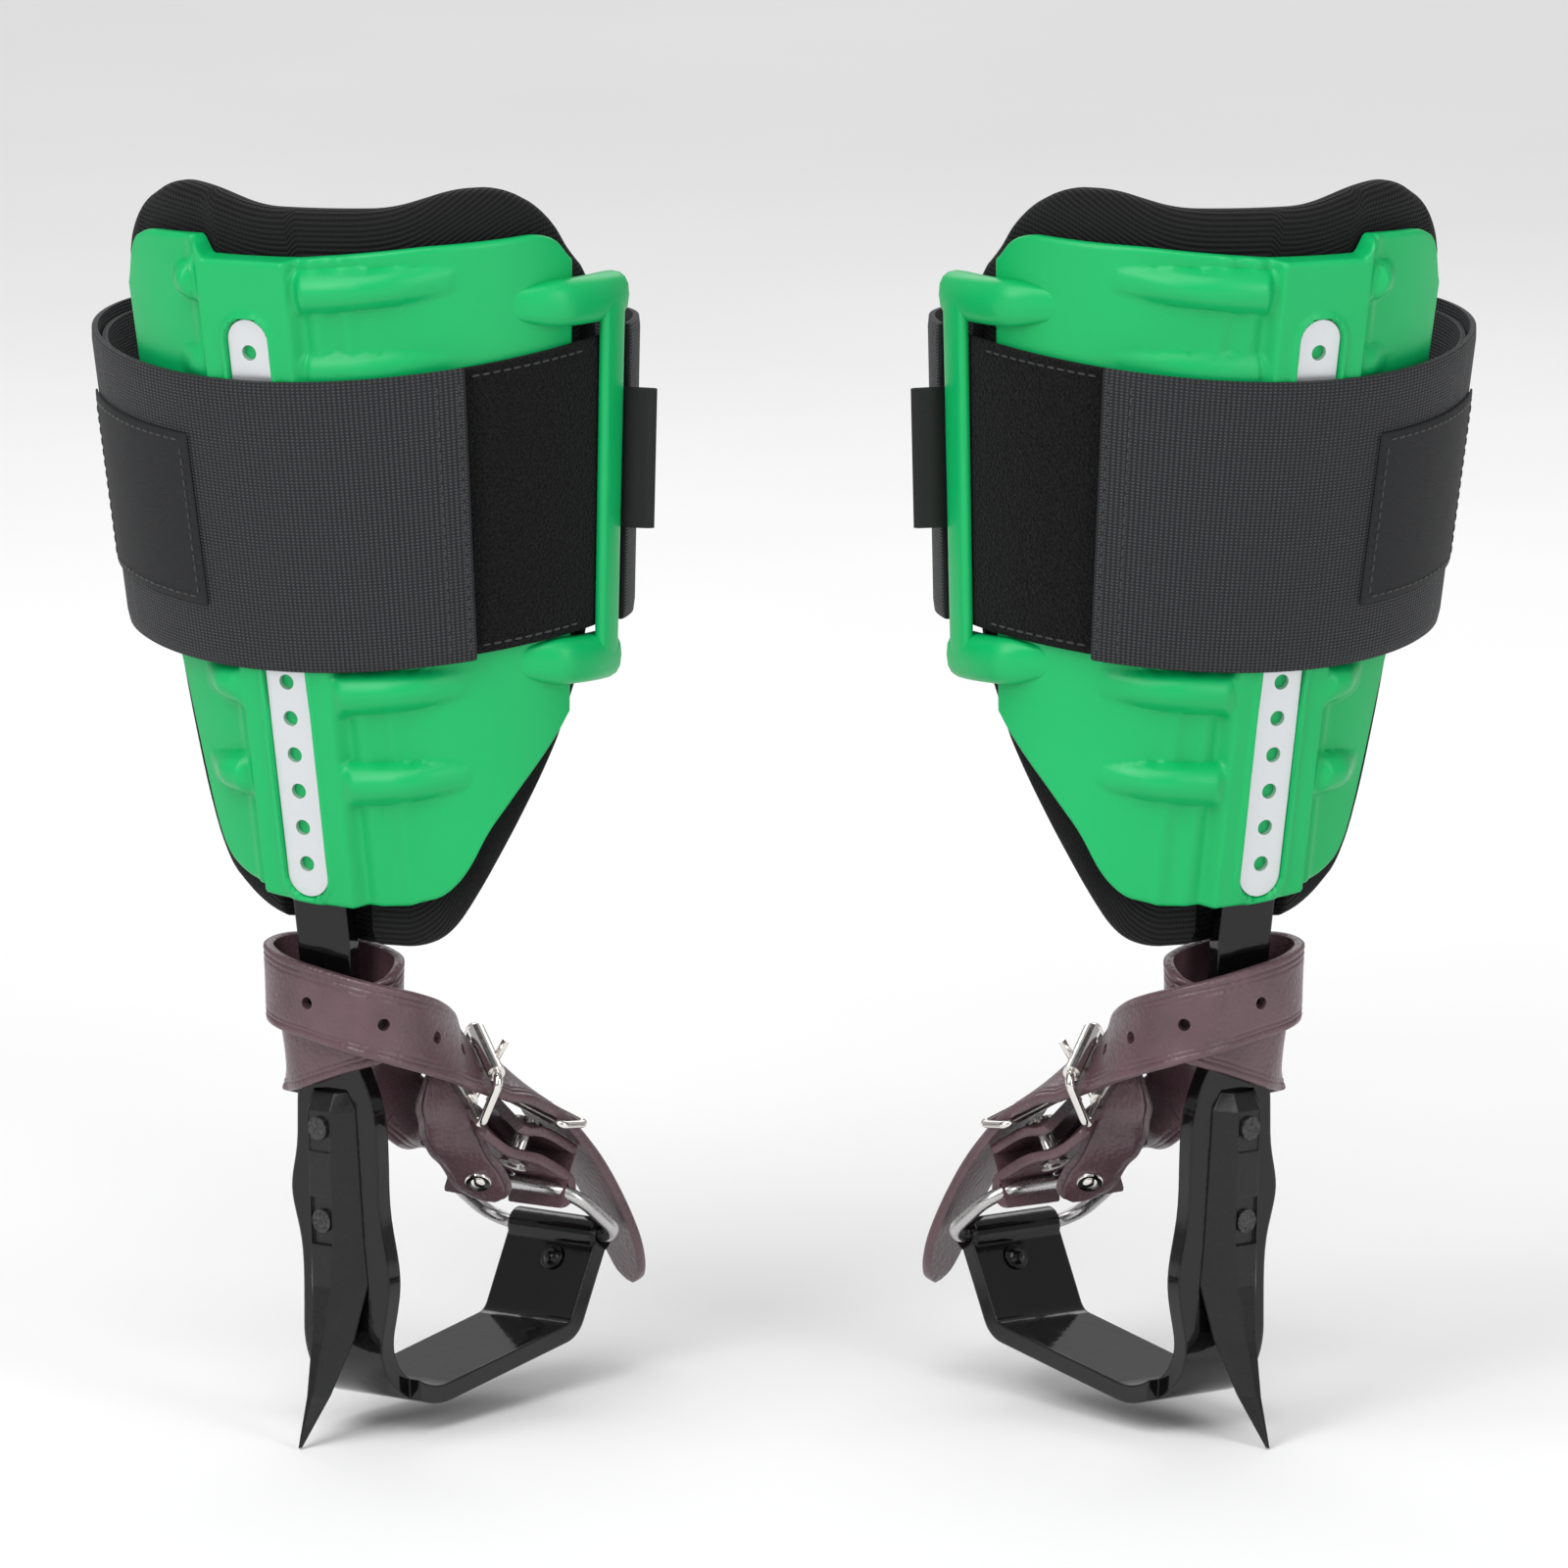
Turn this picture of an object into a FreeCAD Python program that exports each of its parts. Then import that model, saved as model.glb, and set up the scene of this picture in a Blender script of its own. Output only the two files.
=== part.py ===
import FreeCAD, Part
import math
import os

# A pair of tree climbing spurs, in millimetres. Each spur is drawn once, for the left leg, in its own
# frame: Z runs up the leg iron, X runs from the outer face of the iron in under the foot, and Y runs
# across the iron. place() then stands it in the frame of the pair, and the right spur is its mirror image.

V = FreeCAD.Vector
Z = V(0, 0, 1)

# driving dimensions of the ironwork
PITCH = 12.7  # one height step of the cuff
IRON = 6.0  # thickness of the leg iron
BAR_WIDTH = 19.5
FOOT_WIDTH = 38.0
FOOT_SLOPE = 6.5  # degrees, rising towards the outer end
FOOT_REACH = 93.5  # from the shank to the outer bend
HOOK_ANGLE = 60.0  # degrees, the outer end above the level
HOOK_LENGTH = 30.0
RING_WIRE = 2.4  # radius of the steel ring's wire
FIT = 0.1  # clearance round a bolt, pin or bar that slides or turns
BOLT = 3.0  # radius of the cuff bolts

# the upper bar leans out to follow the calf, and is twisted to face the outside of the leg
BAR_LEAN = 7.3
BAR_TWIST = 11.3
BAR_FOOT = V(0, -0.2, 154)
NECK = 124.0  # height at which the wide shank has narrowed to the bar
FIRST_HOLE = 34.7  # distance of the lowest adjusting hole above BAR_FOOT
STRIP_HOLES = 15
BOLT_HOLES = (6, 9)  # the strip holes that hold the two cuff bolts
STEPS = 6  # height steps that the cuff can be raised
CUFF_TRAVEL = STEPS * PITCH
BAR_TOP = FIRST_HOLE + (BOLT_HOLES[1] + STEPS) * PITCH + 8  # length of the leaning bar above BAR_FOOT

OUTWARD = V(-math.cos(math.radians(BAR_TWIST)), -math.sin(math.radians(BAR_TWIST)), 0)
ACROSS = Z.cross(OUTWARD)
UP_BAR = Z * math.cos(math.radians(BAR_LEAN)) + OUTWARD * math.sin(math.radians(BAR_LEAN))
OFF_BAR = OUTWARD * math.cos(math.radians(BAR_LEAN)) - Z * math.sin(math.radians(BAR_LEAN))

# the cuff follows an oval cone round the calf
CALF = V(47, 9.2, 0)
CUFF_LEVEL = 313.0
CUFF_DEEP = 70.0  # half depth of the shell at CUFF_LEVEL
CUFF_WIDE = 84.0  # half width of the shell at CUFF_LEVEL
FRONT_FLARE = math.tan(math.radians(BAR_LEAN))
BACK_FLARE = 0.03
SIDE_FLARE = 0.07
SHELL = 3.4  # wall of the moulded shell
FLOOR = 2.8  # shell wall between the bar and the strip
STRIP = 2.0
STRIP_WIDTH = 14.8
STRIP_FACE = FIT + FLOOR + 0.05 + STRIP
PAD_GAP = 5.6  # from the shell's outer face to the pad's
PAD = 11.5

# straps
WEB = 2.4
WEB_HEIGHT = 100.0
LEATHER = 3.6
LEATHER_WIDTH = 25.4

# where the pair stands: turned about Z, leaning a little outwards, and this far from the middle
TURN = 50.5
SPLAY = 2.36
HALF_GAP = 145.6


def bar_point(across, along, off):
    """A point on the upper bar: across its face, along it from the foot, and off its outer face."""
    return BAR_FOOT + ACROSS * across + UP_BAR * along + OFF_BAR * off


def hole_height(index):
    return FIRST_HOLE + index * PITCH


def around(angle, height, off=0.0):
    """A point on the oval cone of the cuff, at an angle round from the bar, and off the shell's face."""
    turn = math.radians(angle)
    flare = FRONT_FLARE if math.cos(turn) > 0 else BACK_FLARE
    rise = height - CUFF_LEVEL
    deep = (CUFF_DEEP + flare * rise + off) * math.cos(turn)
    wide = (CUFF_WIDE + SIDE_FLARE * rise + off) * math.sin(turn)
    return CALF + OUTWARD * deep + ACROSS * wide + Z * height


def curve_value(points, x):
    """The value at x on straight lines between (x, value) pairs."""
    if x <= points[0][0]:
        return points[0][1]
    for (x0, y0), (x1, y1) in zip(points, points[1:]):
        if x <= x1:
            return y0 + (y1 - y0) * (x - x0) / (x1 - x0)
    return points[-1][1]


def closed(points):
    return Part.makePolygon(list(points) + [points[0]])


def slab(corners, depth):
    """A flat outline pushed through by the vector depth."""
    return Part.Face(closed(corners)).extrude(depth)


def bar_block(across, along, off):
    """A block in the bar's own directions, from three (low, high) pairs."""
    corners = [bar_point(across[i], along[j], off[0]) for i, j in ((0, 0), (1, 0), (1, 1), (0, 1))]
    return slab(corners, OFF_BAR * (off[1] - off[0]))


def rod(start, end, radius):
    axis = end - start
    return Part.makeCylinder(radius, axis.Length, start, axis)


def loft(sections):
    """A closed solid through equal outlines, with straight lines between them."""
    solid = Part.makeLoft([closed(s) for s in sections], True, True)
    if solid.Volume < 0:
        solid.reverse()
    return solid


def band(angles, low, high, outer, inner):
    """A piece of wall round the cuff. low, high, outer and inner are numbers or functions of angle."""
    def at(value, angle):
        return value(angle) if callable(value) else value

    sections = []
    for angle in angles:
        lo, hi = at(low, angle), at(high, angle)
        out, inn = at(outer, angle), at(inner, angle)
        rim = ((lo, out), (hi, out), (hi, inn), (lo, inn))
        sections.append([around(angle, height, off) for height, off in rim])
    return loft(sections)


def spread(start, end, step):
    """Even values from start to end, no more than step apart."""
    count = max(1, math.ceil(abs(end - start) / step))
    return [start + (end - start) * i / count for i in range(count + 1)]


def spline_at(values, place):
    """A smooth curve through evenly numbered points, read at any place along them."""
    last = len(values) - 1
    i = min(int(place), last - 1)
    t = place - i
    a, b = values[max(i - 1, 0)], values[i]
    c, d = values[i + 1], values[min(i + 2, last)]
    slope_b = (c - a) * 0.5
    slope_c = (d - b) * 0.5
    reached = 3 * t**2 - 2 * t**3
    return b * (1 - reached) + c * reached + slope_b * (t**3 - 2 * t**2 + t) + slope_c * (t**3 - t**2)


def strap_frames(stations, per_station=4):
    """Positions, widths and normals along a leather strap, from (point, width direction) stations."""
    points = [V(*p) for p, _ in stations]
    widths = [V(*w) for _, w in stations]
    places = [i / per_station for i in range((len(points) - 1) * per_station + 1)]
    frames = []
    for place in places:
        before = spline_at(points, max(place - 0.02, 0))
        after = spline_at(points, min(place + 0.02, len(points) - 1))
        along = (after - before).normalize()
        across = spline_at(widths, place)
        across = (across - along * across.dot(along)).normalize()
        frames.append((spline_at(points, place), across, along.cross(across), along))
    return frames


def strap_solid(frames, width=LEATHER_WIDTH, thick=LEATHER, taper=()):
    """A strap of rectangular section through the frames. taper gives width shares for its last frames."""
    sections = []
    for i, (point, across, normal, _) in enumerate(frames):
        from_end = len(frames) - 1 - i
        share = taper[from_end] if from_end < len(taper) else 1.0
        w = across * (width * share / 2)
        n = normal * (thick / 2)
        sections.append([point - w - n, point + w - n, point + w + n, point - w + n])
    return loft(sections)


def corner_arc(before, here, after, radius):
    """Start, middle and end of the arc that rounds the corner at here."""
    back = (before - here).normalize()
    ahead = (after - here).normalize()
    half = back.getAngle(ahead) / 2
    reach = radius / math.tan(half)
    top = here + (back + ahead).normalize() * (radius / math.sin(half) - radius)
    return here + back * reach, top, here + ahead * reach


def wire_tube(points, radius, bend):
    """A closed loop of round wire through the corner points, each corner rounded to the bend radius."""
    count = len(points)
    arcs = [corner_arc(points[i - 1], points[i], points[(i + 1) % count], bend) for i in range(count)]
    edges = []
    for i, arc in enumerate(arcs):
        following = arcs[(i + 1) % count]
        edges.append(Part.makeLine(arc[2], following[0]))
        edges.append(Part.Arc(*following).toShape())
    path = Part.Wire(edges)
    first = edges[0]
    section = Part.Wire(Part.makeCircle(radius, arcs[0][2], first.tangentAt(first.FirstParameter)))
    return path.makePipeShell([section], True, True)


# the leg iron, its stirrup and its spike

def foot_lines():
    """Corner points of the stirrup's middle line in the X-Z plane, from the shank to the hook's end."""
    slope = math.radians(FOOT_SLOPE)
    hook = math.radians(HOOK_ANGLE)
    middle = IRON / 2
    heel = V(middle, 0, -1.2)
    toe = heel + V(math.cos(slope), 0, math.sin(slope)) * (FOOT_REACH / math.cos(slope))
    tip = toe + V(math.cos(hook), 0, math.sin(hook)) * HOOK_LENGTH
    return V(middle, 0, NECK), heel, toe, tip


def fillet_path(points, radii):
    """Lines through the points with an arc of the given radius at each inner corner."""
    edges = []
    start = points[0]
    for i, radius in enumerate(radii, 1):
        arc = corner_arc(points[i - 1], points[i], points[i + 1], radius)
        edges.append(Part.makeLine(start, arc[0]))
        edges.append(Part.Arc(*arc).toShape())
        start = arc[2]
    edges.append(Part.makeLine(start, points[-1]))
    return Part.Wire(edges)


def eye_centre():
    """Centre of the rolled eye at the hook's end, which holds the ring."""
    tip = foot_lines()[-1]
    hook = math.radians(HOOK_ANGLE)
    return tip + V(math.cos(hook), 0, math.sin(hook)) * 3.5


def stirrup_sweep():
    path = fillet_path(foot_lines(), (26, 9))
    top = foot_lines()[0]
    half = FOOT_WIDTH / 2 + 4
    face = IRON / 2
    corners = ((-face, -half), (face, -half), (face, half), (-face, half))
    section = closed([top + V(x, y, 0) for x, y in corners])
    return path.makePipeShell([section], True, False)


def shank_outline():
    """The shank seen from outside: forged edges that swell once on each side."""
    far = ((-12, 19), (22, 17), (40, 15.9), (60, 16.6), (74, 19.2), (87, 16.5), (104, 15), (116, 13),
           (NECK, 10))
    near = ((NECK, -10), (116, -13.4), (106, -17.2), (92, -18.8), (66, -18.8), (45, -21.4), (30, -18.5),
            (-12, -19))
    far_edge = Part.BSplineCurve()
    far_edge.interpolate([V(-8, y, z) for z, y in far])
    near_edge = Part.BSplineCurve()
    near_edge.interpolate([V(-8, y, z) for z, y in near])
    outline = Part.Wire([
        far_edge.toShape(),
        Part.makeLine(V(-8, far[-1][1], far[-1][0]), V(-8, near[0][1], near[0][0])),
        near_edge.toShape(),
        Part.makeLine(V(-8, near[-1][1], near[-1][0]), V(-8, far[0][1], far[0][0])),
    ])
    return Part.Face(outline).extrude(V(24, 0, 0))


def upper_bar():
    """The bar above the shank: twisted and leaning, with one hole for each height step."""
    half = BAR_WIDTH / 2
    foot = [V(x, y, NECK) for x, y in ((0, -10), (IRON, -10), (IRON, 10), (0, 10))]
    corners = ((half, 0), (half, -IRON), (-half, -IRON), (-half, 0))
    turned = [bar_point(across, 6, off) for across, off in corners]
    neck = loft([foot, turned])
    bar = bar_block((-half, half), (6, BAR_TOP), (-IRON, 0))
    bar = neck.fuse(bar)
    for index in range(BOLT_HOLES[0], BOLT_HOLES[1] + STEPS + 1):
        height = hole_height(index)
        bar = bar.cut(rod(bar_point(0, height, -IRON - 1), bar_point(0, height, 1), BOLT + FIT))
    return bar


def leg_iron():
    swept = stirrup_sweep()
    foot = Part.makeBox(130, FOOT_WIDTH, 90, V(16, -FOOT_WIDTH / 2, -12))
    plate = swept.common(shank_outline()).fuse(swept.common(foot))
    eye = eye_centre()
    half = FOOT_WIDTH / 2 - 1
    barrel = rod(eye - V(0, half, 0), eye + V(0, half, 0), RING_WIRE + 3.4)
    iron = plate.fuse(barrel).fuse(upper_bar())
    iron = iron.cut(rod(eye - V(0, 40, 0), eye + V(0, 40, 0), RING_WIRE + 0.4))
    for height in GAFF_SCREWS:
        iron = iron.cut(rod(V(-1, 0, height), V(IRON + 1, 0, height), SCREW + FIT))
    rivet = eye_rivet_place()
    return iron.cut(rod(rivet[0] - rivet[1] * 9, rivet[0] + rivet[1] * 9, 2.5 + FIT)).removeSplitter()


GAFF_SCREWS = (66.0, 97.5)  # heights of the two screws through the spike
SCREW = 2.6
GAFF_TOP = 109.0


def gaff_section(height, ridge, base, proud, lean=0.0):
    """One outline of the spike: a ridge face, two flanks and a flat back that lies on the shank."""
    back = -0.05 + lean
    front = back - proud
    outline = ((back, -base / 2), (front, -ridge / 2), (front, ridge / 2), (back, base / 2))
    return [V(x, y, height) for x, y in outline]


def gaff():
    """The spike: a forged bar on the shank that runs down and out to a sharp three-sided point."""
    sections = [
        gaff_section(GAFF_TOP, 8, 15, 3.0),
        gaff_section(GAFF_TOP - 6, 9.5, 21, 7.0),
        gaff_section(60, 9.5, 23, 8.0),
        gaff_section(44, 7.5, 25, 9.5),
        gaff_section(26, 4.5, 17, 9.5, -3.5),
        gaff_section(8, 2.2, 8.5, 6.0, -12.0),
        gaff_section(-8, 0.5, 1.0, 1.0, -23.5),
    ]
    spike = loft(sections)
    for height in GAFF_SCREWS:
        spike = spike.cut(Part.makeBox(4, 9, 16, V(-10.85, -4.5, height - 8)))
        spike = spike.cut(rod(V(-12, 0, height), V(1, 0, height), SCREW + FIT))
    return spike


def gaff_screws():
    screws = []
    for height in GAFF_SCREWS:
        shank = rod(V(-6.9, 0, height), V(IRON, 0, height), SCREW)
        head = rod(V(-8.2, 0, height), V(-6.9, 0, height), 3.9)
        screws.append(shank.fuse(head))
    return Part.makeCompound(screws)


def eye_rivet_place():
    """Point and direction of the round-headed rivet just below the eye, on the hook's inner face."""
    tip = foot_lines()[-1]
    hook = math.radians(HOOK_ANGLE)
    along = V(math.cos(hook), 0, math.sin(hook))
    inward = V(-math.sin(hook), 0, math.cos(hook))
    return tip - along * 7.0 + V(0, -3, 0), inward


def eye_rivet():
    centre, inward = eye_rivet_place()
    face = IRON / 2 + 0.05
    shank = rod(centre - inward * face, centre + inward * face, 2.5)
    washer = rod(centre + inward * face, centre + inward * (face + 0.9), 4.4)
    dome = Part.makeSphere(3.6, centre + inward * (face - 0.6)).common(
        rod(centre + inward * (face + 0.9), centre + inward * 9, 3.6))
    tail = rod(centre - inward * (face + 1.2), centre - inward * face, 3.8)
    return shank.fuse(washer).fuse(dome).fuse(tail)


# the cuff

SHELL_LOW = ((-38, 264), (-35, 238), (-32, 205), (-29, 188), (-22, 181), (-12, 177), (0, 174.5), (24, 173),
             (36, 176), (43, 184), (49, 197), (60, 212), (75, 230), (80, 237))
SHELL_TOP = 400.0
PAD_LOW = ((-42, 300), (-40, 268), (-37, 236), (-34, 205), (-30, 181), (-20, 170), (-8, 163), (10, 158),
           (28, 157), (38, 162), (46, 174), (55, 190), (66, 210), (80, 232), (92, 252), (97, 282))
PAD_HIGH = ((-42, 380), (-38, 398), (-32, 411), (-22, 419), (-12, 418), (2, 412), (34, 411), (50, 416),
            (62, 415), (74, 405), (84, 388), (97, 340))
WINDOW = (258.6, 366.0)
WINDOW_SIDE = 78.0  # angle at which the shell stops and the window begins
POST = (86.0, 93.0)  # angles of the upright post that closes the window
ARM_START = 58.0  # angle at which the window's arms rise from the shell
ARM_HEIGHT = 17.0
CHANNEL_HALF = 16.0
CHANNEL_LOW = 24.0  # distance above BAR_FOOT
CHANNEL_HIGH = (SHELL_TOP - BAR_FOOT.z) / math.cos(math.radians(BAR_LEAN)) - 1.0
STRIP_BASE = FIT + FLOOR + 0.05
STRIP_HOLE = 2.65
STRIP_SEAT = 4.0  # straight length of the strip beyond its end holes
PLATE = 1.6  # backing plate behind the bar
HEAD = 0.7  # height of a bolt's head
NUT = 5.4  # half of a nut across its corners


def shell_wall():
    angles = spread(-38, WINDOW_SIDE, 4)
    return band(angles, lambda a: curve_value(SHELL_LOW, a), SHELL_TOP, 0.0, -SHELL)


def arm_face(angle):
    """How far an arm of the window stands off the shell's face: it swells towards the post."""
    return curve_value(((ARM_START, 0.4), (70, 5), (POST[1], 7)), angle)


def window_frame():
    """The two arms and the post that make the strap window beyond the shell's edge."""
    angles = spread(ARM_START, POST[1], 4)
    low, high = WINDOW[0] - ARM_HEIGHT, WINDOW[1] + ARM_HEIGHT
    lower = band(angles, low, WINDOW[0], arm_face, -SHELL + 0.4)
    upper = band(angles, WINDOW[1], high, arm_face, -SHELL + 0.4)
    post = band(spread(*POST, 4), low, high, 7.0, 3.6)
    return lower.fuse(upper).fuse(post)


def channel():
    """The raised middle of the shell that the bar slides in."""
    return bar_block((-CHANNEL_HALF, CHANNEL_HALF), (CHANNEL_LOW, CHANNEL_HIGH), (-2.9, STRIP_FACE - 0.8))


def bar_cavity():
    half = BAR_WIDTH / 2 + 0.4
    return bar_block((-half, half), (-20, 300), (-40, FIT))


def strip_outline(half, grow, off):
    """The long round-ended outline of the adjusting strip, as a face."""
    low = FIRST_HOLE - grow
    high = hole_height(STRIP_HOLES - 1) + grow
    places = ((half, low), (half, high), (0, high + half), (-half, high), (-half, low), (0, low - half))
    right_low, right_high, top, left_high, left_low, bottom = (bar_point(a, b, off) for a, b in places)
    edges = [
        Part.makeLine(right_low, right_high),
        Part.Arc(right_high, top, left_high).toShape(),
        Part.makeLine(left_high, left_low),
        Part.Arc(left_low, bottom, right_low).toShape(),
    ]
    return Part.Face(Part.Wire(edges))


def cuff_shell():
    shell = shell_wall().fuse(channel()).fuse(window_frame())
    shell = shell.cut(bar_cavity())
    seat = strip_outline(STRIP_WIDTH / 2 + FIT, STRIP_SEAT, FIT + FLOOR).extrude(OFF_BAR * 8)
    shell = shell.cut(seat)
    for index in BOLT_HOLES:
        height = hole_height(index)
        shell = shell.cut(rod(bar_point(0, height, -1), bar_point(0, height, 6), BOLT + FIT))
    return shell


def adjuster_strip():
    strip = strip_outline(STRIP_WIDTH / 2, STRIP_SEAT, STRIP_BASE).extrude(OFF_BAR * STRIP)
    for index in range(STRIP_HOLES):
        height = hole_height(index)
        radius = BOLT + FIT if index in BOLT_HOLES else STRIP_HOLE
        strip = strip.cut(rod(bar_point(0, height, -1), bar_point(0, height, 8), radius))
    return strip


def backing_plate():
    low, high = (hole_height(i) for i in BOLT_HOLES)
    off = -IRON - FIT - PLATE
    plate = bar_block((-9, 9), (low - 10, high + 10), (off, off + PLATE))
    for index in BOLT_HOLES:
        height = hole_height(index)
        plate = plate.cut(rod(bar_point(0, height, off - 1), bar_point(0, height, 1), BOLT + FIT))
    return plate


def cuff_bolts():
    bolts = []
    for index in BOLT_HOLES:
        height = hole_height(index)
        back = -IRON - FIT - PLATE - 5.0
        shank = rod(bar_point(0, height, back), bar_point(0, height, STRIP_FACE), BOLT)
        head = rod(bar_point(0, height, STRIP_FACE), bar_point(0, height, STRIP_FACE + HEAD), 4.6)
        bolts.append(shank.fuse(head))
    return Part.makeCompound(bolts)


def cuff_nuts():
    nuts = []
    base = -IRON - FIT - PLATE - 0.05
    for index in BOLT_HOLES:
        height = hole_height(index)
        corners = []
        for side in range(6):
            turn = math.radians(60 * side)
            corners.append(bar_point(NUT * math.cos(turn), height + NUT * math.sin(turn), base))
        nut = slab(corners, OFF_BAR * -4)
        nuts.append(nut.cut(rod(bar_point(0, height, base - 9), bar_point(0, height, 0), BOLT + 0.05)))
    return Part.makeCompound(nuts)


def calf_pad():
    angles = spread(-42, 97, 5)

    def low(angle):
        return curve_value(PAD_LOW, angle)

    def high(angle):
        return curve_value(PAD_HIGH, angle)

    pad = band(angles, low, high, -PAD_GAP, -PAD_GAP - PAD)
    groove = bar_block((-13, 13), (-10, 300), (-IRON - 7.4, 3))
    return pad.cut(groove)


# the calf strap

def strap_middle(angle):
    """Height of the calf strap's middle: a straight strap on a cone dips where it crosses the bar."""
    return 305 + 6.5 * math.sin(math.radians(angle)) ** 2


def webbing(start, end, off, height=WEB_HEIGHT, thick=WEB, step=6):
    """Webbing round the cuff. off is its inner face off the shell, a number or a function of angle."""
    def inner(angle):
        return off(angle) if callable(off) else off

    def outer(angle):
        return inner(angle) + thick

    def low(angle):
        return strap_middle(angle) - height / 2

    def high(angle):
        return strap_middle(angle) + height / 2

    return band(spread(start, end, step), low, high, outer, inner)


STRAP_SPLIT = -8.0  # where the free end starts to peel from
STRAP_END = 46.0
RING_SWING = (-2.0, 6.0)  # degrees of play left in the ring while the strap is buckled
TAIL_SWING = (-8.0, 0.0)  # degrees of play in the strap's free end
FRONT_OFF = 4.9


def calf_strap():
    """The main webbing: from behind the post, round the back of the calf, to the front of the bar."""
    off = ((-259.5, 3.4), (-200, 5.5), (-90, 5.5), (-45, 4.6), (-20, FRONT_OFF), (0, FRONT_OFF))
    return webbing(-259.5, STRAP_SPLIT - 0.8, lambda a: curve_value(off, a))


def calf_strap_end():
    return webbing(STRAP_SPLIT + 0.8, STRAP_END, FRONT_OFF, step=5)


def hook_tape():
    return webbing(16, STRAP_END - 1, 3.6, WEB_HEIGHT - 8, 1.1, 5)


def loop_panel():
    """The soft panel the free end grips. It passes through the window and behind the post."""
    return webbing(13.5, 99, 0.5, WEB_HEIGHT - 2, 2.5, 5)


def strap_lining():
    """A second layer of webbing inside the main one, along the back of the calf."""
    return webbing(-200, -52, 2.0, WEB_HEIGHT - 6, 2.2, 6)


def strap_patch():
    return webbing(-62, -17, lambda a: curve_value(((-90, 8.2), (-45, 7.3), (-17, 7.5)), a), 59, 0.9, 5)


def strap_tag():
    """The small folded tag sewn in behind the post, standing out from the strap."""
    outline = ((294, 3.4), (341, 3.4), (341, 18), (294, 18))
    corners = [around(95, height, off) for height, off in outline]
    depth = around(97, 318, 5) - around(95, 318, 5)
    return slab(corners, depth.normalize() * 1.4)


# the ankle strap, its ring and its buckle

RING_LEAN = V(-0.77, 0, 0.64)  # direction in which the ring stands off its eye
RING_DEPTH = 34.0
RING_WIDTH = 57.0


def ring_top():
    return eye_centre() + RING_LEAN * RING_DEPTH


def ankle_ring():
    eye = eye_centre()
    side = V(0, RING_WIDTH / 2, 0)
    corners = [eye - side, eye + side, ring_top() + side, ring_top() - side]
    return wire_tube(corners, RING_WIRE, 12)


ROLLER = V(53.5, -22.5, 113.7)  # middle of the buckle's roller bar
ROLLER_LINE = V(0.51, 0.757, 0.406).normalize()
BUCKLE_ARM = V(-0.016, 0.48, -0.877)  # from the roller bar to the tongue's bar
BUCKLE_ARM = (BUCKLE_ARM - ROLLER_LINE * BUCKLE_ARM.dot(ROLLER_LINE)).normalize()
BUCKLE_FACE = BUCKLE_ARM.cross(ROLLER_LINE)
BUCKLE_LENGTH = 18.7
BUCKLE_HALF = 16.6
BUCKLE_WIRE = 1.6
ROLLER_RADIUS = 3.0
TONGUE = 1.35  # radius of the tongue's shank
TAIL_CLEAR = 0.9
KEEPER_WIRE = 1.3
TONGUE_BAR = ROLLER + BUCKLE_ARM * BUCKLE_LENGTH
TONGUE_LIFT = 20.0  # degrees the tongue can lift off the roller


def buckle_frame():
    half = ROLLER_LINE * BUCKLE_HALF
    corners = [ROLLER - half, ROLLER + half, TONGUE_BAR + half, TONGUE_BAR - half]
    return wire_tube(corners, BUCKLE_WIRE, 3.2)


def buckle_roller():
    half = ROLLER_LINE * (BUCKLE_HALF - 4.2)
    outer = rod(ROLLER - half, ROLLER + half, ROLLER_RADIUS)
    return outer.cut(rod(ROLLER - half * 2, ROLLER + half * 2, BUCKLE_WIRE + FIT))


def tongue_solid(grow=0.0):
    """The tongue: an eye on its bar and a straight shank that rests on the roller and passes it."""
    line = ROLLER_LINE * (2.6 + grow)
    eye = rod(TONGUE_BAR - line, TONGUE_BAR + line, BUCKLE_WIRE + 1.5 + grow)
    heel = TONGUE_BAR + BUCKLE_FACE * 2.2 - BUCKLE_ARM * 1.0
    rest = ROLLER + BUCKLE_FACE * (ROLLER_RADIUS + TONGUE + 0.8) - BUCKLE_ARM * 6.0
    return eye.fuse(rod(heel, rest, TONGUE + grow))


def tongue_path():
    """The room that the tongue needs through the strap as it lifts."""
    room = tongue_solid(0.7)
    for lift in (TONGUE_LIFT / 2, TONGUE_LIFT):
        raised = tongue_solid(0.7)
        raised.rotate(TONGUE_BAR, ROLLER_LINE, lift)
        room = room.fuse(raised)
    return room


def buckle_tongue():
    line = ROLLER_LINE * 9
    return tongue_solid().cut(rod(TONGUE_BAR - line, TONGUE_BAR + line, BUCKLE_WIRE + FIT))


def ankle_strap_path():
    """Stations of the ankle strap, from under the foot twice round the shank and on to the buckle."""
    level = (0, 0, 1)
    return [
        ((38, 4.5, 97), (0.45, -0.35, 0.82)),
        ((24, 3.5, 107), (0.25, -0.1, 0.96)),
        ((14.5, 9.5, 113.5), level),
        ((4.5, 19, 118.5), level),
        ((-3.8, 11.5, 122), (0, 0.2, 1)),
        ((-4.0, -6, 128.5), (0, 0.3, 1)),
        ((0.5, -19.3, 133), (0.1, 0.3, 1)),
        ((10, -22, 137.5), (-0.2, 0, 1)),
        ((18, -13, 141.5), (0, -0.2, 1)),
        ((18, 6, 145), (0, -0.1, 1)),
        ((9, 21.5, 146), level),
        ((-2, 22.5, 145), level),
        ((-9.0, 12, 143), (0, -0.1, 1)),
        ((-9.8, -4, 140.5), (0, -0.15, 1)),
        ((-7, -21, 137), (0.1, -0.2, 1)),
        ((3.5, -29, 132.5), (0.25, -0.1, 1)),
        ((17, -30, 127), (0.35, 0.1, 0.95)),
    ]


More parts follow.
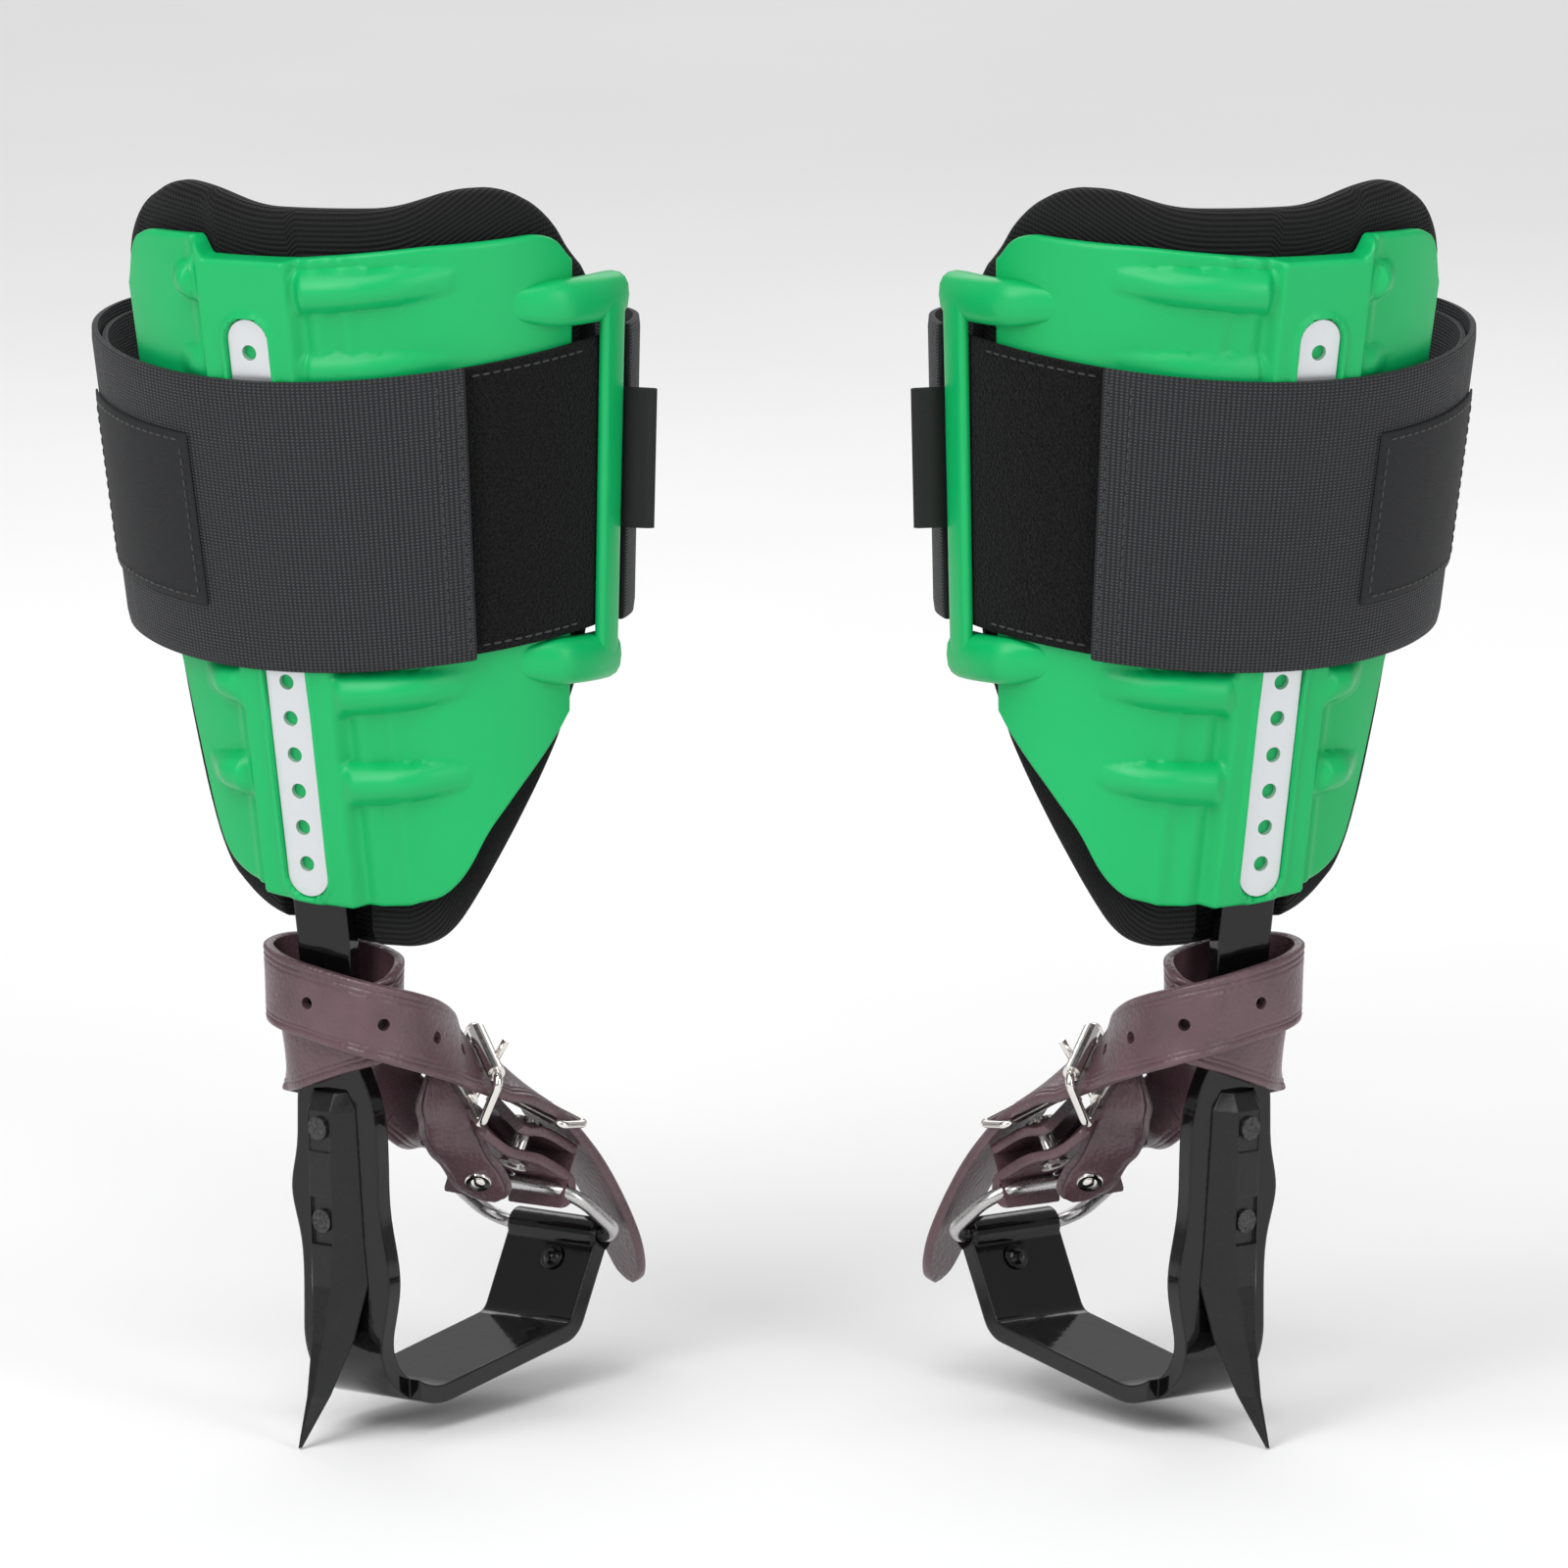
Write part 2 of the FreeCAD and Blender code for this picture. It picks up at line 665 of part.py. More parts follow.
def strap_front_path():
    """Stations of the ankle strap from where it leaves the shank to its place under the roller."""
    return [
        ((19.0, -29.9, 126.2), (0.36, 0.14, 0.93)),
        ((31, -27.5, 120.5), (0.45, 0.4, 0.8)),
        ((43, -22.4, 114), (0.52, 0.65, 0.55)),
        (tuple(ROLLER + BUCKLE_ARM * 6.4), tuple(ROLLER_LINE)),
    ]


def strap_holes(strap, path, places, radius=2.4):
    """Punch round holes through a strap at places counted along its path's stations."""
    frames = strap_frames(path, 20)
    for place in places:
        point, _, normal, _ = frames[int(place * 20)]
        strap = strap.cut(rod(point - normal * 4, point + normal * 4, radius))
    return strap


def ankle_strap():
    path = ankle_strap_path()
    strap = strap_solid(strap_frames(path, 4))
    return strap_holes(strap, path, (12.7, 14.35))


def ankle_strap_front():
    path = strap_front_path()
    strap = strap_solid(strap_frames(path, 4))
    strap = strap_holes(strap, path, (0.15, 1.6))
    return strap.cut(tongue_path())


def strap_tail_path():
    """Stations of the strap's free end, lifted just clear of the short strap under it."""
    stations = [
        ((56.6, -19.6, 106.2), tuple(ROLLER_LINE)),
        ((69, -20, 100), (0.45, 0.85, 0.2)),
        ((83, -18, 90), (0.35, 0.9, 0)),
        ((97, -16, 76), (0.3, 0.92, -0.1)),
        ((111, -15.5, 60), (0.3, 0.93, 0)),
        ((123, -15, 41), (0.3, 0.93, 0.1)),
        ((132, -14, 19), (0.3, 0.93, 0.1)),
    ]
    return [(tuple(V(*point) + BUCKLE_FACE * TAIL_CLEAR), across) for point, across in stations]


def strap_tail():
    """The strap's free end beyond the roller, tapering to a rounded tip."""
    frames = strap_frames(strap_tail_path(), 4)
    return strap_solid(frames, taper=(0.42, 0.76, 0.94)).cut(tongue_path())


def keeper_loop():
    """The wire loop that holds the strap's free end down."""
    frames = strap_frames(strap_tail_path(), 20)
    point, across, normal, along = frames[44]
    side = across * (LEATHER_WIDTH / 2 + KEEPER_WIRE + 0.6)
    face = normal * (LEATHER / 2 + KEEPER_WIRE + 0.4)
    lean = along * 5
    below, above = point - face - lean, point + face + lean
    return wire_tube([below - side, below + side, above + side, above - side], KEEPER_WIRE, 2.4)


def folded_strap(lead, wire, radius, back_share):
    """A strap that runs along lead, turns round a bar through wire and lies back under itself."""
    frames = strap_frames(lead, 4)
    _, across, normal, along = frames[-1]
    turned = []
    for step in range(1, 9):
        turn = math.radians(22.5 * step)
        out = normal * math.cos(turn) + along * math.sin(turn)
        turned.append((wire + out * radius, across, out, along))
    count = int(len(frames) * back_share)
    back = []
    for point, frame_across, frame_normal, frame_along in list(reversed(frames))[1:count]:
        back.append((point - frame_normal * (2 * radius), frame_across, frame_normal * -1, frame_along * -1))
    return strap_solid(frames + turned + back, FOLD_WIDTH)


RING_TURN = RING_WIRE + 0.5 + LEATHER / 2
RING_NORMAL = V(0.57, 0, 0.82).normalize()
FOLD_WIDTH = 24.0  # width of the two straps folded round the ring
RING_SIDE = 13.6  # how far each of them sits from the middle of the ring


def ring_lead(points, side):
    """Stations that end flat on top of the ring's far bar, side being the strap's place along the bar."""
    top = ring_top() + V(0, side, 0) + RING_NORMAL * RING_TURN
    return points + [(tuple(top), (0, -1, 0))]


def anchor_lead():
    return ring_lead([
        ((39.6, 4.7, 95.8), (0.45, -0.35, 0.82)),
        ((52, 7, 88), (0.38, -0.55, 0.74)),
        ((64, 10, 80), (0.2, -0.85, 0.45)),
        ((76, 13, 73.5), (0.05, -1, 0.1)),
    ], RING_SIDE)


def strap_anchor():
    """The ankle strap's lower end, folded round the ring and riveted back on itself."""
    wire = ring_top() + V(0, RING_SIDE, 0)
    strap = folded_strap(anchor_lead(), wire, RING_TURN, 0.72)
    for rivet in anchor_rivet_places():
        strap = strap.cut(rivet_solid(*rivet, grow=FIT))
    return strap


def anchor_rivet_places():
    frames = strap_frames(anchor_lead(), 20)
    return [(frames[i][0] - frames[i][2] * RING_TURN, frames[i][2]) for i in (34, 56)]


def rivet_solid(centre, axis, grow=0.0):
    """A tubular rivet through two layers of leather, with a rolled flange on each face."""
    reach = RING_TURN + LEATHER / 2 + 0.7
    barrel = rod(centre - axis * reach, centre + axis * reach, 2.6 + grow)
    if grow:
        return barrel
    low = rod(centre - axis * (reach + 1), centre - axis * reach, 5.0)
    high = rod(centre + axis * reach, centre + axis * (reach + 1), 5.0)
    rivet = barrel.fuse(low).fuse(high)
    return rivet.cut(rod(centre - axis * (reach + 2), centre + axis * (reach + 2), 1.7))


def chape_lead():
    return ring_lead([
        (tuple(TONGUE_BAR + BUCKLE_FACE * 3.0 + BUCKLE_ARM * 5), tuple(ROLLER_LINE * -1)),
        ((65.5, -12.5, 80.5), (-0.3, -0.9, -0.2)),
        ((77, -13, 72.5), (-0.05, -1, 0)),
    ], -RING_SIDE)


def buckle_chape():
    """The short strap that ties the buckle's tongue bar to the ring, folded round the ring."""
    wire = ring_top() + V(0, -RING_SIDE, 0)
    strap = folded_strap(chape_lead(), wire, RING_TURN, 0.8)
    for rivet in chape_rivet_places():
        strap = strap.cut(rivet_solid(*rivet, grow=FIT))
    return strap


def chape_rivet_places():
    point, _, normal, _ = strap_frames(chape_lead(), 20)[40]
    return [(point - normal * RING_TURN, normal)]


def guard_path():
    """Stations of the loose flap that lies under the buckle to guard the boot."""
    return [
        ((29, -14, 107), (0.5, 0.2, 0.84)),
        ((39, -8.5, 93.5), (0.35, -0.45, 0.8)),
        ((50, -3.5, 80), (0.2, -0.7, 0.65)),
        ((62, -2.5, 67), (0.1, -0.85, 0.5)),
        ((73, -2.5, 56), (0.1, -0.9, 0.4)),
    ]


def buckle_guard():
    return strap_solid(strap_frames(guard_path(), 4), 22, 2.8, taper=(0.6, 0.9))


def strap_rivets():
    places = anchor_rivet_places() + chape_rivet_places()
    return Part.makeCompound([rivet_solid(*place) for place in places])


# the list of pieces, and how they stand in the pair

PIECES = {
    "leg_iron": leg_iron,
    "gaff": gaff,
    "gaff_screws": gaff_screws,
    "eye_rivet": eye_rivet,
    "cuff_shell": cuff_shell,
    "adjuster_strip": adjuster_strip,
    "backing_plate": backing_plate,
    "cuff_bolts": cuff_bolts,
    "cuff_nuts": cuff_nuts,
    "calf_pad": calf_pad,
    "calf_strap": calf_strap,
    "calf_strap_end": calf_strap_end,
    "hook_tape": hook_tape,
    "loop_panel": loop_panel,
    "strap_lining": strap_lining,
    "strap_patch": strap_patch,
    "strap_tag": strap_tag,
    "ankle_ring": ankle_ring,
    "ankle_strap": ankle_strap,
    "ankle_strap_front": ankle_strap_front,
    "strap_tail": strap_tail,
    "strap_anchor": strap_anchor,
    "buckle_chape": buckle_chape,
    "buckle_guard": buckle_guard,
    "keeper_loop": keeper_loop,
    "buckle_frame": buckle_frame,
    "buckle_roller": buckle_roller,
    "buckle_tongue": buckle_tongue,
    "strap_rivets": strap_rivets,
}


def foot_rest():
    """The point on the stirrup where the boot's arch rests, and the stirrup's upward normal there."""
    _, heel, toe, _ = foot_lines()
    along = (toe - heel).normalize()
    normal = V(-along.z, 0, along.x)
    middle = heel + along * 55
    return middle + normal * (IRON / 2), normal


def pair_matrix():
    """Turns and moves the left spur from its own frame to its place in the pair."""
    turn = FreeCAD.Rotation(Z, TURN)
    splay = FreeCAD.Rotation(V(0, 1, 0), -SPLAY)
    rotation = splay.multiply(turn)
    origin = rotation.multVec(foot_rest()[0])
    return FreeCAD.Placement(origin * -1, rotation)


def mirror_plane():
    """X of the plane between the two spurs, in the frame of the pair."""
    rotation = pair_matrix().Rotation
    return HALF_GAP - rotation.multVec(foot_rest()[0]).x


def place(shape):
    moved = shape.copy()
    moved.Placement = pair_matrix().multiply(moved.Placement)
    return moved


def write_pieces():
    os.makedirs("parts", exist_ok=True)
    middle = V(mirror_plane(), 0, 0)
    for name, build in PIECES.items():
        left = place(build())
        right = left.mirror(middle, V(1, 0, 0))
        left.exportStep(f"parts/left_{name}.step")
        right.exportStep(f"parts/right_{name}.step")
        print(f"{name:16s} valid {left.isValid()} solids {len(left.Solids)} volume {left.Volume:9.1f}")


if __name__ == "__main__":
    write_pieces()
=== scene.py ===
import bmesh
import bpy
import math
from mathutils import Matrix, Vector


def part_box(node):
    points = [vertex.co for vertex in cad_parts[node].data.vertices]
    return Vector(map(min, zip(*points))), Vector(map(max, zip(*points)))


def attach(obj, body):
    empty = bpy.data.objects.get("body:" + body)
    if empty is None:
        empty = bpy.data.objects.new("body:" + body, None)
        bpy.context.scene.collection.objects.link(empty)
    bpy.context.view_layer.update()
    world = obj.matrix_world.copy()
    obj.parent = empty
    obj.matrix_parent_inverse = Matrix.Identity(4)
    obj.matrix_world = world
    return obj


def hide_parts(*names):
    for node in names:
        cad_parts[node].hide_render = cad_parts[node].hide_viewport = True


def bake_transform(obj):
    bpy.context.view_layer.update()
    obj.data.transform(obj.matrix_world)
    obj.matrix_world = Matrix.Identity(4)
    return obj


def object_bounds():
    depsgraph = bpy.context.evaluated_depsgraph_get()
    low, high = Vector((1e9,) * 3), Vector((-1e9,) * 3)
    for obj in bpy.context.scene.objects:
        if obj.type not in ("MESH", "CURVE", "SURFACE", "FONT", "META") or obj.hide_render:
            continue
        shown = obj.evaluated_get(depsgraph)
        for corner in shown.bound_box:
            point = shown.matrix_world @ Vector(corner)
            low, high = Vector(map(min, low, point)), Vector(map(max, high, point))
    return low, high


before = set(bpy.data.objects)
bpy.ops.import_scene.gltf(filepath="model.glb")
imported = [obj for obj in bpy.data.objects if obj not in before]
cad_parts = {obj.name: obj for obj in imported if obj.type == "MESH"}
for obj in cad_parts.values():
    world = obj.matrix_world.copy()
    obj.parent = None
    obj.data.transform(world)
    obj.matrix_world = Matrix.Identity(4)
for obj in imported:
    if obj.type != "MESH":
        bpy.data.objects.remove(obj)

# Each spur is drawn for the left leg in its own frame, in millimetres, and placed in the pair's frame:
# Z runs up the leg iron, X in under the foot and Y across the iron. The right spur is its mirror image.

V = Vector
Z = V((0, 0, 1))
CAD_BOX = [list(corner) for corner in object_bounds()]

# driving dimensions, shared with the ironwork
PITCH = 12.7
IRON = 6.0
BAR_LEAN = math.radians(7.3)
BAR_TWIST = math.radians(11.3)
BAR_FOOT = V((0, -0.2, 154))
FIRST_HOLE = 34.7
STRIP_HOLES = 15
STRIP_WIDTH = 14.8
BAR_TOP = FIRST_HOLE + STRIP_HOLES * PITCH + 8
STRIP_BASE = 2.9  # height of the strip's seat above the bar's face
PLATEAU = 4.15  # height of the raised channel above the bar's face
OUTWARD = V((-math.cos(BAR_TWIST), -math.sin(BAR_TWIST), 0))
ACROSS = Z.cross(OUTWARD)
UP_BAR = Z * math.cos(BAR_LEAN) + OUTWARD * math.sin(BAR_LEAN)
OFF_BAR = OUTWARD * math.cos(BAR_LEAN) - Z * math.sin(BAR_LEAN)

CALF = V((47, 9.2, 0))
CUFF_LEVEL = 313.0
CUFF_DEEP = 70.0
CUFF_WIDE = 84.0
FRONT_FLARE = math.tan(BAR_LEAN)
BACK_FLARE = 0.03
SIDE_FLARE = 0.07
SHELL = 3.4
PAD_GAP = 5.6
PAD = 11.5
WEB = 2.4
WEB_HEIGHT = 100.0
LEATHER = 3.6
LEATHER_WIDTH = 25.4
FRONT_OFF = 4.9  # the webbing's inner face off the shell, in front

TURN = math.radians(50.5)
SPLAY = math.radians(2.36)
FOOT_SLOPE = math.radians(6.5)
FOOT_REST = V((IRON / 2, 0, -1.2)) + V((math.cos(FOOT_SLOPE), 0, math.sin(FOOT_SLOPE))) * 55 \
    + V((-math.sin(FOOT_SLOPE), 0, math.cos(FOOT_SLOPE))) * (IRON / 2)
STAND = Matrix.Rotation(-SPLAY, 3, "Y") @ Matrix.Rotation(TURN, 3, "Z")
MIDDLE = (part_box("left_leg_iron")[0].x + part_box("right_leg_iron")[1].x) / 2

# outlines round the cuff, as (angle from the bar in degrees, height)
SHELL_LOW = ((-38, 264), (-35, 238), (-32, 205), (-29, 188), (-22, 181), (-12, 177), (0, 174.5), (24, 173),
             (36, 176), (43, 184), (49, 197), (60, 212), (75, 230), (80, 237))
SHELL_HIGH = ((-38, 380), (-34, 398), (-28, 402), (-11, 403), (-9.2, 396.5), (12, 396.5), (40, 399),
              (68, 399), (74, 396), (78, 388))
PAD_LOW = ((-50, 300), (-48, 268), (-45, 236), (-41, 205), (-36, 181), (-22, 168), (-8, 163), (10, 158),
           (28, 157), (38, 161), (46, 172), (56, 188), (68, 207), (82, 228), (94, 248), (102, 280))
PAD_HIGH = ((-50, 372), (-44, 394), (-36, 409), (-22, 419), (-12, 418), (2, 412), (34, 411), (50, 416),
            (62, 415), (74, 406), (84, 390), (93, 382), (102, 350))
# moulded ribs on the shell: (angle where it starts, angle where it ends, height)
RIBS = ((10.5, 48, 385), (10.5, 48, 356), (10.5, 47, 247), (11, 46, 215.5),
        (-10, -20, 387), (-10, -21, 358), (-10, -27, 248), (-12, -30, 216.5))
RIB_LIFT = 7.5
RIB_UNDER_STRAP = 3.6  # the ribs that the calf strap crosses are lower


# small helpers

def to_row(point, side):
    """A point of the left spur's own frame, in millimetres, as metres in the frame of the pair."""
    placed = STAND @ (V(point) - FOOT_REST) / 1000
    if side == "right":
        placed.x = 2 * MIDDLE - placed.x
    return placed


def smooth(low, high, x):
    """Goes gently from 0 at low to 1 at high."""
    t = min(max((x - low) / (high - low), 0), 1)
    return t * t * (3 - 2 * t)


def curve_value(points, x):
    """The value at x on straight lines through (x, value) pairs."""
    if x <= points[0][0]:
        return points[0][1]
    for (x0, y0), (x1, y1) in zip(points, points[1:]):
        if x <= x1:
            return y0 + (y1 - y0) * (x - x0) / (x1 - x0)
    return points[-1][1]


def soft_value(points, x, reach=2.5):
    """A curve through (x, value) pairs with its corners eased over the given reach."""
    shifts = (-1.0, -0.5, 0.0, 0.5, 1.0)
    return sum(curve_value(points, x + reach * s) for s in shifts) / len(shifts)


def spread(start, end, step):
    """Evenly spaced values from start to end, no further apart than step."""
    count = max(1, math.ceil(abs(end - start) / step))
    return [start + (end - start) * i / count for i in range(count + 1)]


def around(angle, height, off=0.0):
    """A point on the oval cone of the cuff, at an angle round from the bar, and off the shell's face."""
    turn = math.radians(angle)
    flare = BACK_FLARE + (FRONT_FLARE - BACK_FLARE) * smooth(-0.25, 0.25, math.cos(turn))
    rise = height - CUFF_LEVEL
    deep = (CUFF_DEEP + flare * rise + off) * math.cos(turn)
    wide = (CUFF_WIDE + SIDE_FLARE * rise + off) * math.sin(turn)
    return CALF + OUTWARD * deep + ACROSS * wide + Z * height


def bar_place(point):
    """How far a point lies across the bar, along it and off its outer face."""
    from_foot = point - BAR_FOOT
    return from_foot.dot(ACROSS), from_foot.dot(UP_BAR), from_foot.dot(OFF_BAR)


def finish_piece(mesh_object, side, body, material, nodes=()):
    """Gives a piece its look, its body, and the frame's nodes that it stands for."""
    mesh_object.data.materials.append(material)
    if nodes:
        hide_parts(*[f"{side}_{node}" for node in nodes])
    if body:
        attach(mesh_object, f"{side}_{body}")
    return mesh_object


def mesh_piece(name, side, points, faces, uvs, crease=40):
    """A smooth-shaded mesh object. uvs holds one (u, v) for each point, in metres."""
    mesh = bpy.data.meshes.new(f"{side}_{name}")
    mesh.from_pydata([to_row(p, side) for p in points], [], faces)
    if side == "right":
        mesh.flip_normals()
    layer = mesh.uv_layers.new(name="UVMap")
    for loop in mesh.loops:
        layer.data[loop.index].uv = uvs[loop.vertex_index]
    mesh.shade_smooth()
    mesh.set_sharp_from_angle(angle=math.radians(crease))
    mesh_object = bpy.data.objects.new(f"{side}_{name}", mesh)
    bpy.context.scene.collection.objects.link(mesh_object)
    return mesh_object


def loops_piece(name, side, loops, crease=40, ring=False):
    """A closed body through equal loops of points, with its two ends closed, or joined into a ring."""
    count = len(loops[0])
    points = [p for loop in loops for p in loop]
    faces = []
    uvs = []
    u = 0.0
    for i, loop in enumerate(loops):
        if i:
            u += (loop[0] - loops[i - 1][0]).length / 1000
        v = 0.0
        for j, point in enumerate(loop):
            if j:
                v += (point - loop[j - 1]).length / 1000
            uvs.append((u, v))
    rows = len(loops)
    for i in range(rows if ring else rows - 1):
        here, there = i * count, (i + 1) % rows * count
        for j in range(count):
            k = (j + 1) % count
            faces.append((here + j, there + j, there + k, here + k))
    if not ring:
        faces.append(tuple(range(count)))
        faces.append(tuple(reversed(range((rows - 1) * count, rows * count))))
    return mesh_piece(name, side, points, faces, uvs, crease)


def outward(mesh_object):
    """Turns every face's normal to the outside."""
    work = bmesh.new()
    work.from_mesh(mesh_object.data)
    bmesh.ops.recalc_face_normals(work, faces=work.faces)
    work.to_mesh(mesh_object.data)
    work.free()
    return mesh_object


# materials

class Look:
    """A node material under construction."""

    def __init__(self, name, color, rough, **settings):
        self.material = bpy.data.materials.new(name)
        self.material.use_nodes = True
        self.tree = self.material.node_tree
        self.shader = self.tree.nodes["Principled BSDF"]
        self.shader.inputs["Base Color"].default_value = (*color, 1)
        self.shader.inputs["Roughness"].default_value = rough
        for key, value in settings.items():
            self.shader.inputs[key.replace("_", " ")].default_value = value
        self.height = None

    def node(self, kind, **settings):
        made = self.tree.nodes.new(kind)
        for key, value in settings.items():
            if key in made.inputs:
                made.inputs[key].default_value = value
            else:
                setattr(made, key, value)
        return made

    def link(self, output, socket):
        self.tree.links.new(output, socket)

    def place(self, by_uv=False):
        source = self.node("ShaderNodeTexCoord")
        return source.outputs["UV" if by_uv else "Object"]

    def noise(self, scale, detail=3.0, by_uv=False):
        made = self.node("ShaderNodeTexNoise", Scale=scale, Detail=detail)
        self.link(self.place(by_uv), made.inputs["Vector"])
        return made.outputs["Fac"]

    def cells(self, scale, feature="F1"):
        made = self.node("ShaderNodeTexVoronoi", feature=feature, Scale=scale)
        self.link(self.place(), made.inputs["Vector"])
        return made.outputs["Distance"]

    def ridges(self, direction, per_metre, by_uv=True):
        """Even ridges along U or V. direction is X or Y, and per_metre how many there are in a metre."""
        made = self.node("ShaderNodeTexWave", bands_direction=direction)
        made.inputs["Scale"].default_value = per_metre * math.pi / 10
        self.link(self.place(by_uv), made.inputs["Vector"])
        return made.outputs["Fac"]

    def math(self, operation, first, second):
        made = self.node("ShaderNodeMath", operation=operation)
        self.link(first, made.inputs[0])
        if isinstance(second, float):
            made.inputs[1].default_value = second
        else:
            self.link(second, made.inputs[1])
        return made.outputs[0]

    def ramp(self, source, low, high, start=0.3, end=0.7):
        """A colour or grey that goes from low to high as source goes from start to end."""
        made = self.node("ShaderNodeValToRGB")
        made.color_ramp.elements[0].position = start
        made.color_ramp.elements[1].position = end
        made.color_ramp.elements[0].color = (*low, 1)
        made.color_ramp.elements[1].color = (*high, 1)
        self.link(source, made.inputs["Fac"])
        return made.outputs["Color"]

    def paint(self, source, low, high, start=0.3, end=0.7):
        self.link(self.ramp(source, low, high, start, end), self.shader.inputs["Base Color"])

    def dull(self, source, low, high, start=0.3, end=0.7):
        grey = self.ramp(source, (low,) * 3, (high,) * 3, start, end)
        self.link(grey, self.shader.inputs["Roughness"])

    def bump(self, source, depth, strength=1.0):
        """Raises the surface by depth, in metres, on top of what was raised before."""
        made = self.node("ShaderNodeBump", Strength=strength, Distance=depth)
        self.link(source, made.inputs["Height"])
        if self.height:
            self.link(self.height, made.inputs["Normal"])
        self.height = made.outputs["Normal"]
        self.link(self.height, self.shader.inputs["Normal"])

    def soften(self, radius):
        """Rounds the light on hard edges by radius, in metres."""
        made = self.node("ShaderNodeBevel", Radius=radius)
        made.samples = 6
        self.height = made.outputs["Normal"]
        self.link(self.height, self.shader.inputs["Normal"])


def green_plastic():
    look = Look("green_plastic", (0.002, 0.42, 0.115), 0.36, Specular_IOR_Level=0.35)
    look.paint(look.noise(9), (0.0015, 0.40, 0.105), (0.0025, 0.44, 0.125))
    look.dull(look.noise(60), 0.32, 0.42)
    look.bump(look.noise(1800, 2), 0.00004)
    return look.material


def black_steel():
    look = Look("black_steel", (0.003, 0.003, 0.0035), 0.09, IOR=1.4, Coat_Weight=0.1, Coat_Roughness=0.05)
    look.soften(0.0012)
    look.dull(look.noise(120), 0.06, 0.13)
    look.bump(look.noise(260, 2), 0.00006)
    return look.material


def spike_steel():
    look = Look("spike_steel", (0.006, 0.006, 0.0065), 0.3, IOR=1.4, Coat_Weight=0.1, Coat_Roughness=0.2)
    look.soften(0.0008)
    look.dull(look.noise(300), 0.24, 0.4)
    look.bump(look.noise(700, 4), 0.00008)
    return look.material


def screw_steel():
    look = Look("screw_steel", (0.05, 0.05, 0.052), 0.32, Metallic=0.8)
    look.paint(look.noise(900), (0.03, 0.03, 0.032), (0.09, 0.09, 0.09))
    look.dull(look.noise(500), 0.25, 0.42)
    return look.material


def strip_metal():
    look = Look("strip_metal", (0.66, 0.68, 0.70), 0.34, Metallic=0.6)
    look.dull(look.noise(90), 0.28, 0.42)
    look.bump(look.noise(700, 2), 0.00001)
    return look.material


def nickel():
    look = Look("nickel", (0.82, 0.79, 0.76), 0.12, Metallic=1.0)
    look.dull(look.noise(500), 0.09, 0.2)
    return look.material


def ring_steel():
    look = Look("ring_steel", (0.56, 0.55, 0.55), 0.26, Metallic=1.0)
    look.dull(look.noise(900), 0.2, 0.36)
    look.bump(look.noise(1500, 3), 0.00002)
    return look.material


def pad_knit():
    look = Look("pad_knit", (0.008, 0.008, 0.009), 0.85, Specular_IOR_Level=0.2, Sheen_Weight=0.05)
    ribs = look.ridges("Y", 520)
    look.paint(ribs, (0.003, 0.003, 0.0035), (0.013, 0.013, 0.014), 0.1, 0.9)
    look.bump(ribs, 0.0005, 0.8)
    look.bump(look.ridges("X", 800), 0.0002, 0.6)
    look.bump(look.noise(1500), 0.0002, 0.5)
    return look.material


def webbing():
    look = Look("webbing", (0.032, 0.033, 0.037), 0.62, Specular_IOR_Level=0.25, Sheen_Weight=0.04)
    columns = look.ridges("X", 620)
    rows = look.ridges("Y", 900)
    weave = look.math("MULTIPLY", columns, rows)
    look.paint(weave, (0.010, 0.0105, 0.012), (0.062, 0.065, 0.072), 0.05, 0.75)
    look.bump(weave, 0.0006, 0.9)
    look.bump(look.noise(2500), 0.0001, 0.4)
    return look.material


def loop_fabric():
    look = Look("loop_fabric", (0.004, 0.004, 0.0045), 0.95, Specular_IOR_Level=0.15, Sheen_Weight=0.04)
    fuzz = look.noise(1300, 8)
    look.paint(fuzz, (0.001, 0.001, 0.001), (0.012, 0.012, 0.013), 0.35, 0.75)
    look.bump(fuzz, 0.0011)
    look.bump(look.cells(900), 0.0005)
    return look.material


def hook_tape():
    look = Look("hook_tape", (0.02, 0.02, 0.021), 0.7)
    look.bump(look.math("MULTIPLY", look.ridges("X", 650), look.ridges("Y", 650)), 0.0008)
    look.paint(look.noise(1500), (0.01, 0.01, 0.011), (0.03, 0.03, 0.032))
    return look.material


def patch_cloth():
    look = Look("patch_cloth", (0.016, 0.0165, 0.018), 0.6, Specular_IOR_Level=0.25)
    twill = look.math("MULTIPLY", look.ridges("X", 1600), look.ridges("Y", 1600))
    look.paint(twill, (0.010, 0.0105, 0.012), (0.022, 0.023, 0.025), 0.1, 0.8)
    look.bump(twill, 0.0002, 0.7)
    return look.material


def tag_cloth():
    look = Look("tag_cloth", (0.008, 0.008, 0.0085), 0.5, Specular_IOR_Level=0.3)
    satin = look.math("MULTIPLY", look.ridges("X", 2400), look.ridges("Y", 1800))
    look.paint(satin, (0.005, 0.005, 0.0055), (0.012, 0.012, 0.013), 0.1, 0.8)
    look.bump(satin, 0.00012, 0.6)
    return look.material


def thread():
    look = Look("thread", (0.012, 0.012, 0.013), 0.6, Sheen_Weight=0.2)
    look.paint(look.noise(4000), (0.006, 0.006, 0.007), (0.03, 0.03, 0.032))
    look.bump(look.noise(6000), 0.0001)
    return look.material


def brown_strap():
    look = Look("brown_strap", (0.095, 0.047, 0.058), 0.36, Coat_Weight=0.3, Coat_Roughness=0.28)
    look.paint(look.noise(45, 6), (0.075, 0.036, 0.046), (0.125, 0.066, 0.08))
    look.dull(look.noise(700), 0.3, 0.46)
    look.bump(look.cells(620), 0.0003, 0.8)
    look.bump(look.noise(420, 5), 0.00025, 0.6)
    return look.material


